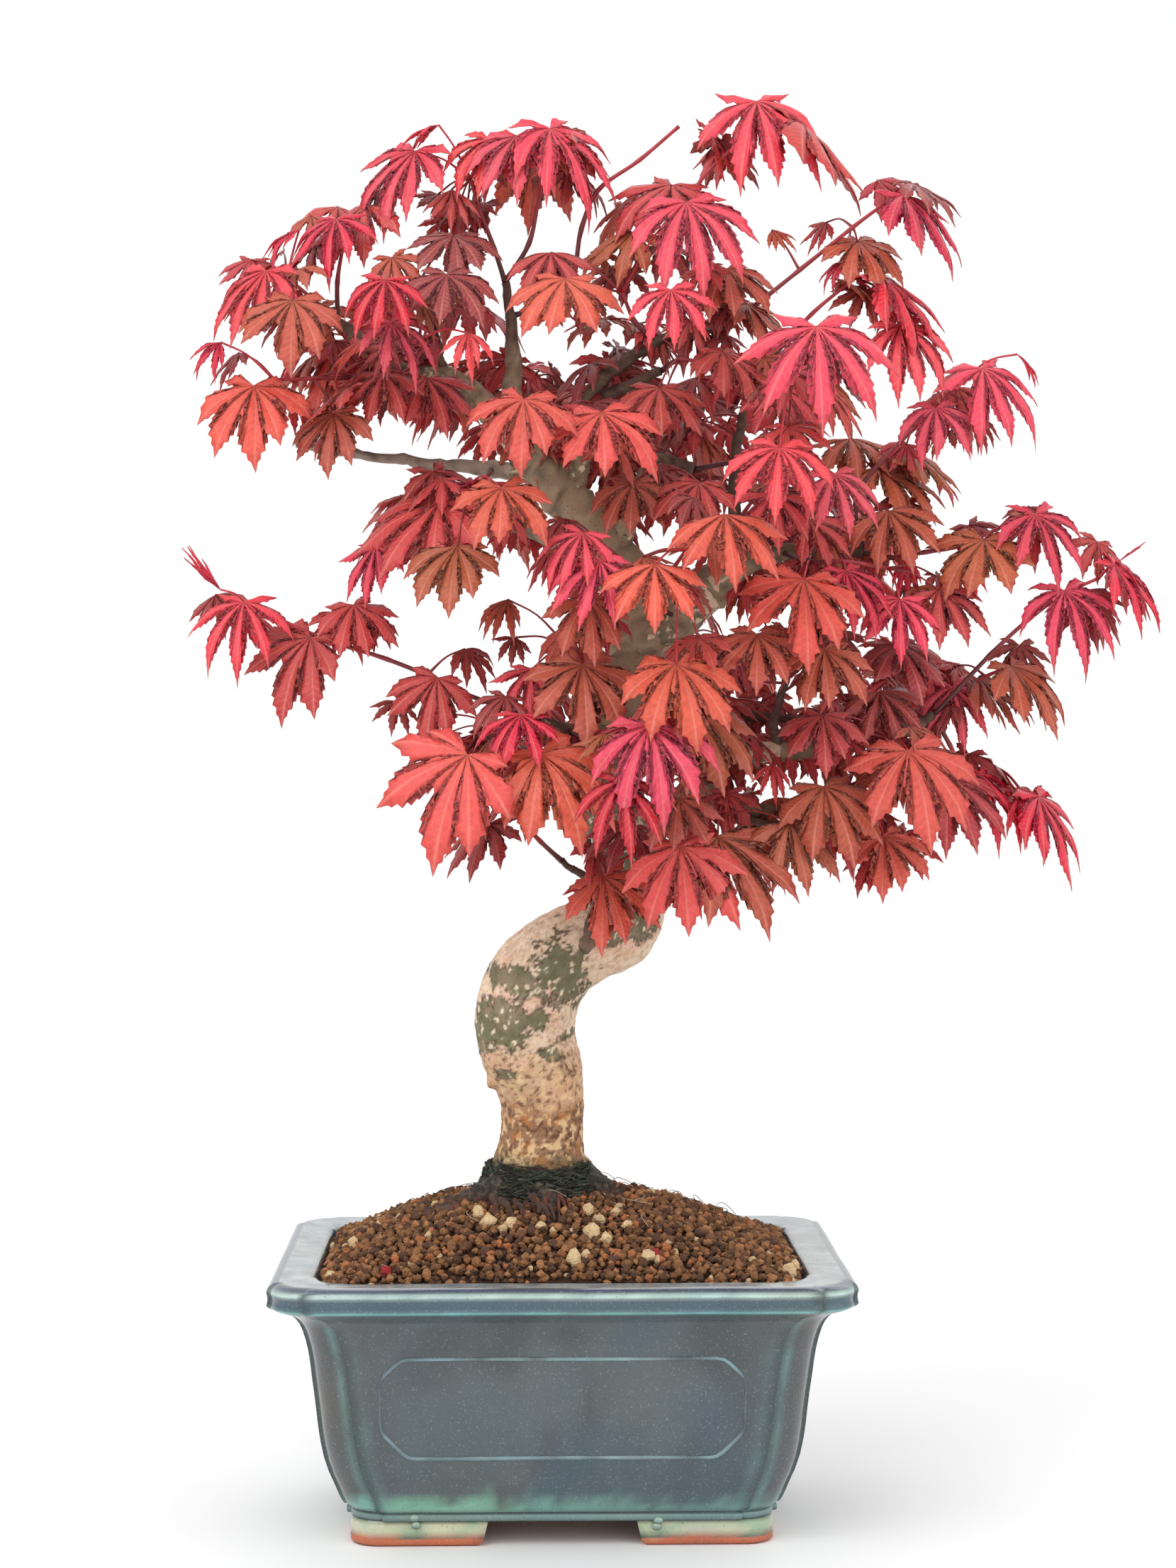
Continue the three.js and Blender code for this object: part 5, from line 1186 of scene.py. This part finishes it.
def make_collar():
    """Dark root hairs and old moss packed round the foot of the trunk, and loose hairs over the soil."""
    fibres = Soup()
    for k in range(HAIRS):
        turn = vary(k + 0.1) * 2 * math.pi
        height = 119 + 14 * vary(k + 0.2)
        radius = np.interp(height, [112, 118, 124, 132], [30, 26.5, 22.5, 19.5]) + 0.6 * vary(k + 0.3)
        span = (0.16 + 0.42 * vary(k + 0.4)) * (1 if vary(k + 0.5) > 0.5 else -1)
        drop = 7 * (vary(k + 0.6) - 0.62)
        stations = []
        for t in np.linspace(0, 1, 5):
            angle = turn + span * t
            out = radius + 0.8 * math.sin(9 * t + k) * vary(k + 0.7) - drop * t * 0.5
            thick = (0.2 + 0.5 * vary(k + 0.8) ** 2) * (1.05 - 0.8 * t)
            px, py = -8.3 + out * math.cos(angle), out * 0.97 * math.sin(angle)
            stations.append((px, py, height + drop * t, thick))
        fibres.add(*tube(spline(stations, 2), 4), FIBRE_SHADES[k % 5])
    # reddish root knuckles and young roots in front of the trunk
    for k in range(KNUCKLES):
        x, y = -27 + 40 * vary(k + 0.11), -18 - 5 * vary(k + 0.21)
        lean = 14 * (vary(k + 0.31) - 0.3)
        thick = 0.6 + 1.5 * vary(k + 0.41) ** 2
        stations = []
        for t in np.linspace(0, 1, 5):
            px, py = x + lean * t, y - (9 + 8 * vary(k + 0.51)) * t
            stations.append((px, py, float(ground(px, py)) + 1.5 - 1.8 * t + 0.9 * math.sin(7 * t + k),
                             thick * (1.1 - 0.7 * t) * (1 + 0.2 * math.sin(9 * t + k))))
        fibres.add(*tube(spline(stations, 4), 8), srgb(112, 62, 50) if thick < 1.1 else srgb(88, 62, 52))
    for k in range(LOOSE_HAIRS):
        turn = vary(k + 0.15) * 2 * math.pi
        start = 24 + 56 * vary(k + 0.25)
        x, y = -8 + start * math.cos(turn), start * 0.62 * math.sin(turn)
        heading = vary(k + 0.35) * 2 * math.pi
        length = 5 + 11 * vary(k + 0.45)
        hump = 0.8 + 3.4 * vary(k + 0.55) ** 3
        stations = []
        for t in np.linspace(0, 1, 5):
            px = x + length * t * math.cos(heading + t)
            py = y + length * t * math.sin(heading + t)
            stations.append((px, py, float(ground(px, py)) + 1.0 + hump * math.sin(math.pi * t), 0.13))
        shade = srgb(196, 184, 160) if k % 4 == 0 else srgb(70, 46, 36)
        fibres.add(*tube(spline(stations, 3), 4), shade)
    fibres.piece("root_hairs", [FIBRE], "bark")


make_trunk()
make_twigs()
make_collar()

# ---------------------------------------------------------------- leaves
YOUNG_SAG = 0.9
OLD_SAG = 0.66
BLADE_THICKNESS = 0.28
STALK_RADIUS = 0.42
STEM_RADIUS = 1.0
DOWN = np.array([0, 0, -1.0])

# Lobes: [degrees from the middle one, length, half width].
OPEN_LOBES = [(-118, 0.38, 0.06), (-77, 0.74, 0.10), (-38, 0.94, 0.12), (0, 1.0, 0.125), (38, 0.94, 0.12),
              (77, 0.74, 0.10), (118, 0.38, 0.06)]
FURLED_LOBES = [
    (-46, 0.74, 0.07), (-22, 0.92, 0.085), (0, 1.0, 0.09), (22, 0.92, 0.085), (46, 0.74, 0.07),
]
RING_SHARES = [0.14, 0.34, 0.56, 0.78, 1.0]
# Half width of a lobe from its valley to its long point, as shares of the lobe and of its widest.
LOBE_PROFILE = [(0, 0.66), (0.15, 0.84), (0.38, 1.0), (0.58, 0.88), (0.78, 0.46), (0.9, 0.19), (1, 0.03)]


def lobe_edge(length, half_width, valley, teeth, way):
    """One margin of a lobe as (along, off its axis), from the valley to just short of the tip."""
    edge = []
    for k in range(teeth):
        for step, tooth in ((0.0, 0.80), (0.70, 1.16)):
            t = (k + step) / teeth
            along = valley + (length - valley) * t * 0.97
            taper = np.interp(t, *zip(*LOBE_PROFILE))
            edge.append((along, way * max(half_width * taper * tooth, 0.004)))
    return edge


def blade_template(lobes, valley_share, teeth):
    """Flat blade about the stalk. Each corner: degrees, reach, share along its lobe, off its rib, lobe."""
    outline = []
    for k, (degrees, length, half_width) in enumerate(lobes):
        valley = valley_share * length
        count = max(3, round(teeth * length))
        left = lobe_edge(length, half_width, valley, count, -1)
        right = lobe_edge(length, half_width, valley, count, 1)
        margin = left + [(length, 0.0)] + right[::-1]
        for along, off in margin:
            turned = degrees + math.degrees(math.atan2(off, along))
            from_rib = min(abs(off) / (half_width * 0.9), 1.0)
            outline.append((turned, math.hypot(along, off), along / length, from_rib, degrees))
        if k + 1 < len(lobes):
            between = (degrees + lobes[k + 1][0]) / 2
            reach = 0.5 * valley_share * (length + lobes[k + 1][1]) * 0.93
            outline.append((between, reach, 0.3, 1.0, between))
    return np.array(outline)


# Young leaves have narrow lobes and deep valleys, older ones broad lobes with coarse teeth.
YOUNG_BLADES = [
    blade_template(OPEN_LOBES, 0.28, 8),
    blade_template([(d * 0.96, n, w * 1.1) for d, n, w in OPEN_LOBES], 0.32, 8),
    blade_template([(d * 1.03, n, w * 0.88) for d, n, w in OPEN_LOBES], 0.25, 9),
]
OLD_BLADES = [
    blade_template([(d, n, w * 1.42) for d, n, w in OPEN_LOBES], 0.40, 6),
    blade_template([(d * 1.04, n, w * 1.28) for d, n, w in OPEN_LOBES[1:-1]], 0.36, 7),
    blade_template([(d * 0.96, n, w * 1.5) for d, n, w in OPEN_LOBES], 0.44, 6),
]
FURLED_BLADES = [blade_template(FURLED_LOBES, 0.26, 5)]
SMALL_BLADES = [
    blade_template([(d, n, w * 1.1) for d, n, w in OPEN_LOBES], 0.36, 4),
    blade_template([(d * 0.9, n, w) for d, n, w in OPEN_LOBES[1:-1]], 0.32, 4),
]


def blade_frame(face, lift, turn):
    """The blade's outward normal, the way its middle lobe points, and its right-hand side."""
    face, lift, turn = map(math.radians, (face, lift, turn))
    normal = np.array([math.cos(lift) * math.cos(face), math.cos(lift) * math.sin(face), math.sin(lift)])
    hang = unit(DOWN - normal * DOWN.dot(normal))
    right = np.cross(normal, hang)
    midrib = hang * math.cos(turn) + right * math.sin(turn)
    return normal, midrib, np.cross(normal, midrib)


def add_blade(soup, leaf, seed, templates=None):
    x, y, z, face, lift, turn, size, tone = leaf
    colour = TONES[tone]
    normal, midrib, right = blade_frame(face, lift, turn)
    upright = abs(turn) > 90
    furled = size < 26 or upright
    young = tone < 2
    templates = templates or (FURLED_BLADES if furled else YOUNG_BLADES if young else OLD_BLADES)
    outline = templates[int(vary(seed) * len(templates))]
    degrees, reach, along, off, axis = outline.T
    bend = 1 + 0.10 * (vary(seed + 0.7) - 0.5)
    if upright:
        degrees = degrees * 0.5
        axis = axis * 0.5
    radians = np.radians(degrees * bend)
    lobe = np.round(axis)
    # every lobe has its own droop, length and twist
    own = np.array([vary(seed + 0.013 * value) for value in lobe])
    sag = (0 if upright else YOUNG_SAG if young else OLD_SAG) * (0.6 + 0.75 * own)
    radians = radians + np.radians(20) * (own - 0.5) * along
    start = np.outer(np.cos(radians), midrib) + np.outer(np.sin(radians), right)
    keel = (0.30 if vary(seed + 0.2) > 0.45 else -0.34) * (0.6 + 0.6 * vary(seed + 0.25))
    # shape at each ring: walk out from the stalk while the path turns towards the ground
    steps = 10
    rings = []
    for share in RING_SHARES:
        point = np.zeros((len(reach), 3))
        for k in range(steps):
            travelled = reach * share * (k + 0.5) / steps
            heading = unit(start * (1 - sag * travelled)[:, None] + DOWN * (sag * travelled)[:, None])
            point += heading * (size * reach * share * (0.84 + 0.20 * own) / steps)[:, None]
        up = unit(normal - heading * (heading @ normal)[:, None])
        crease = keel * off * 0.08 * size * share
        ripple = 0.012 * size * np.sin(along * share * 11 + own * 20 + seed) * share
        rings.append(point + up * (crease + ripple)[:, None])
    heart = np.zeros((1, 3))
    top = np.vstack([heart, *rings]) + np.array([x, y, z])
    columns = len(outline)
    # thickness follows the blade's one normal, the same at every point
    under = top - normal * BLADE_THICKNESS
    count = len(top)
    quads = grid_faces(len(RING_SHARES), columns, closed=False) + 1
    first = np.arange(columns - 1) + 1
    fan = together(0 * first, first + 1, first)
    border = [0] + [1 + r * columns for r in range(len(RING_SHARES))]
    last = (len(RING_SHARES) - 1) * columns + 1
    border += [last + c for c in range(1, columns)]
    border += [r * columns + columns for r in range(len(RING_SHARES) - 2, -1, -1)]
    border = np.array(border)
    following = np.roll(border, -1)
    hem = together(border, following, following + count, border + count)
    shares = np.concatenate([[0], *[share * along for share in RING_SHARES]])
    offs = np.concatenate([[0], *[off for _ in RING_SHARES]])
    warm = np.array([
        0.9 + 0.25 * vary(seed + 0.31), 0.8 + 0.45 * vary(seed + 0.37), 0.8 + 0.45 * vary(seed + 0.41)])
    painted = np.tile(colour * warm, (count, 1))
    painted = blend(painted, colour * np.array([0.72, 0.45, 0.5]), smooth_step(0.72, 1.0, shares) * 0.7)
    painted = blend(painted, colour * np.array([1.12, 1.25, 1.1]), smooth_step(0.35, 0.0, shares) * 0.35)
    painted = np.clip(painted, 0, 1)
    back = np.clip(painted * np.array([0.92, 0.95, 0.95]) + np.array([0.03, 0.02, 0.02]), 0, 1)
    marks = together(shares, offs)
    faces = [quads[:, ::-1], fan[:, ::-1], quads + count, fan + count, hem[:, ::-1]]
    soup.add(np.vstack([top, under]), faces, np.vstack([painted, back]), np.vstack([marks, marks]))


def nearest(points, place):
    points = np.asarray(points, float)
    gaps = np.linalg.norm(points[:, :3] - np.asarray(place, float)[:3], axis=1)
    return points[gaps.argmin()]


WOOD_POINTS = np.vstack(wood_stations)
TONES = [srgb(214, 24, 60), srgb(232, 66, 86), srgb(218, 86, 68), srgb(190, 56, 60), srgb(178, 82, 56),
         srgb(150, 50, 50)]
DARK_TONES = [3, 4, 5, 5, 3]
COMPANIONS = 2
SLOTS = {entry["node"]: entry["material_slot"] for entry in frame["record"]["subparts"]}


def dark_tone(seed):
    return DARK_TONES[int(vary(seed) * len(DARK_TONES))]


def rear_shoot(fork, index):
    """A shoot at the back: its leaves fan out round the fork and face away from the trunk."""
    x, y, z = fork
    outward = math.degrees(math.atan2(y, x - 20))
    leaves = []
    for k in range(LEAVES_PER_REAR_FORK):
        seed = index * 7 + k + 1
        face = outward + (k - 1.5) * 46 + 16 * (vary(seed) - 0.5)
        leaves.append([
            x + REAR_STALK_REACH * math.cos(math.radians(face)),
            y + REAR_STALK_REACH * math.sin(math.radians(face)),
            z + 14 * (vary(seed + 0.3) - 0.35), face, 40 + 18 * vary(seed + 0.5),
            40 * (vary(seed + 0.7) - 0.5), 29 + 11 * vary(seed + 0.9), 1 + math.floor(4 * vary(seed + 0.2))])
    return [fork], leaves


def add_stalk(soup, fork, leaf, seed):
    """A leaf stalk: it rises from the fork, arches over and runs into the heart of the blade."""
    end = np.array(leaf[:3], float)
    fork = np.asarray(fork[:3], float)
    length = np.linalg.norm(end - fork)
    middle = (fork + end) / 2 + np.array([0, 0, 0.10 * length]) + 0.04 * length * np.array([
        vary(seed) - 0.5, vary(seed + 0.5) - 0.5, 0])
    stations = [(*fork, STALK_RADIUS * 1.5), (*middle, STALK_RADIUS * 0.9), (*end, STALK_RADIUS)]
    colour = srgb(196, 44, 58) if leaf[7] < 3 else srgb(150, 40, 44)
    soup.add(*tube(spline(stations, 4), 6), colour, material=1)


def add_company(soup, fork, leaf, seed):
    """Smaller, darker leaves that stand behind a leaf, on stalks from the same fork."""
    fork = np.asarray(fork[:3], float)
    base = np.array(leaf[:3], float)
    for k in range(COMPANIONS):
        own = seed + 5.3 * k
        share = 0.15 + 0.6 * vary(own + 0.1)
        place = fork + (base - fork) * share + np.array([
            26 * (vary(own + 0.2) - 0.5), 4 + 16 * vary(own + 0.3), 24 * (vary(own + 0.4) - 0.45)])
        small = [*place, leaf[3] + 110 * (vary(own + 0.5) - 0.5), 30 + 35 * vary(own + 0.6),
                 60 * (vary(own + 0.7) - 0.5), leaf[6] * (0.48 + 0.25 * vary(own + 0.8)),
                 dark_tone(own + 0.9)]
        add_stalk(soup, fork, small, own)
        add_blade(soup, small, own, SMALL_BLADES)


def make_shoot(name, stem, leaves, index):
    soup = Soup()
    root = nearest(WOOD_POINTS, stem[0])[:3]
    line = [list(root), *stem]
    stations = [(*point, STEM_RADIUS * (1 - 0.35 * k / (len(line) - 1))) for k, point in enumerate(line)]
    path = spline(stations, 6)
    steps = np.arange(len(path))
    path[:, 3] *= 1 + 0.22 * bell(steps % 6, 1.1)
    points, faces = tube(path, 8)
    share = np.append(np.repeat(steps / steps[-1], 8), [0, 1])
    bark = blend(srgb(84, 40, 40), srgb(178, 44, 54), smooth_step(0.1, 0.9, share))
    soup.add(points, faces, bark, material=1)
    for k, leaf in enumerate(leaves):
        seed = index * 11.3 + k * 2.7
        fork = nearest(stem, leaf)
        add_stalk(soup, fork, leaf, seed)
        add_blade(soup, leaf, seed)
        if leaf[6] > 24:
            add_company(soup, fork, leaf, seed)
    skin = YOUNG_SKIN if leaves[0][7] == 0 else LEAF_SKIN
    soup.piece(name, [skin, STALK], SLOTS[name.replace("leafy_", "")], [name.replace("leafy_", "")])


def make_inner_leaves(name, limbs, start):
    """Shaded leaves close to the wood, which close the gaps deep in the crown."""
    soup = Soup()
    seed = start
    for limb in limbs:
        for x, y, z, radius in spline(limb, 3)[2:]:
            if radius > 5:
                continue
            seed += 1.7
            turn = math.radians(360 * vary(seed))
            reach = 12 + 20 * vary(seed + 0.1)
            leaf = [x + reach * math.cos(turn), y + 14 + 12 * math.sin(turn),
                    z + 22 * (vary(seed + 0.2) - 0.4),
                    -90 + 130 * (vary(seed + 0.3) - 0.5), 25 + 45 * vary(seed + 0.4),
                    70 * (vary(seed + 0.5) - 0.5), 18 + 12 * vary(seed + 0.6), dark_tone(seed + 0.7)]
            add_stalk(soup, (x, y, z), leaf, seed)
            add_blade(soup, leaf, seed, SMALL_BLADES)
    soup.piece(name, [LEAF_SKIN, STALK], "leaf_red")


every_shoot = [*SHOOTS, *[rear_shoot(fork, index) for index, fork in enumerate(REAR_FORKS)]]
for number, (stem, leaves) in enumerate(every_shoot):
    make_shoot(f"leafy_shoot_{number + 1:02d}", stem, leaves, number)
make_inner_leaves("inner_leaves_right", BRANCHES[2:9], 3.0)
make_inner_leaves("inner_leaves_top", BRANCHES[9:14], 300.0)
make_inner_leaves("inner_leaves_back", BRANCHES[15:], 600.0)

# ---------------------------------------------------------------- what lies inside the pot
INNER = {
    "gravel": plain_material("drain_gravel", srgb(206, 190, 160), 0.95, 300, 0.0012),
    "drain_screen": plain_material("screen_plastic", srgb(38, 41, 43), 0.55, 900, 0.0002),
    "screen_clip": plain_material("clip_wire", srgb(176, 178, 178), 0.32, 700, 0.0001, metallic=1.0),
}
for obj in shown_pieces():
    for start, material in INNER.items():
        if obj.name.startswith(start):
            obj.data.materials.clear()
            obj.data.materials.append(material)

# ---------------------------------------------------------------- floor and light
FLOOR_RADIUS = 1.35
FLOOR_DROP = 0.0003


def make_floor():
    form = bmesh.new()
    bmesh.ops.create_circle(form, cap_ends=True, radius=FLOOR_RADIUS, segments=96)
    mesh = bpy.data.meshes.new("floor")
    form.to_mesh(mesh)
    form.free()
    obj = add_object("floor", mesh)
    obj.location = (POT_CENTRE[0], POT_CENTRE[1], POT_CENTRE[2] - FLOOR_DROP)
    shader = Shader("white_paper", 0.75)
    paper = shader.noise(9, 3)
    shader.colour(shader.mix(paper, (0.865, 0.865, 0.865), (0.895, 0.895, 0.895)))
    mesh.materials.append(shader.material)


def add_light(name, place, size, power):
    """A square soft box at `place`, in mm, that looks at the middle of the tree."""
    data = bpy.data.lights.new(name, "AREA")
    data.size = size
    data.energy = power
    light = add_object(name, data)
    spot = Vector(POT_CENTRE + np.array(place) * MM)
    aim = Vector(POT_CENTRE + np.array([0, 0, 260]) * MM)
    light.location = spot
    light.rotation_euler = (aim - spot).to_track_quat("-Z", "Y").to_euler()


make_floor()
add_light("key_softbox", (-700, -900, 1500), 1.2, 12)
add_light("fill_softbox", (1100, -900, 700), 1.4, 4)
add_light("back_softbox", (300, 1300, 1300), 1.2, 4)
world = bpy.data.worlds.new("white_room")
world.use_nodes = True
background = world.node_tree.nodes["Background"]
background.inputs["Color"].default_value = (1.0, 1.0, 1.0, 1)
background.inputs["Strength"].default_value = 1.0
bpy.context.scene.world = world
bpy.context.scene.view_settings.view_transform = "Standard"
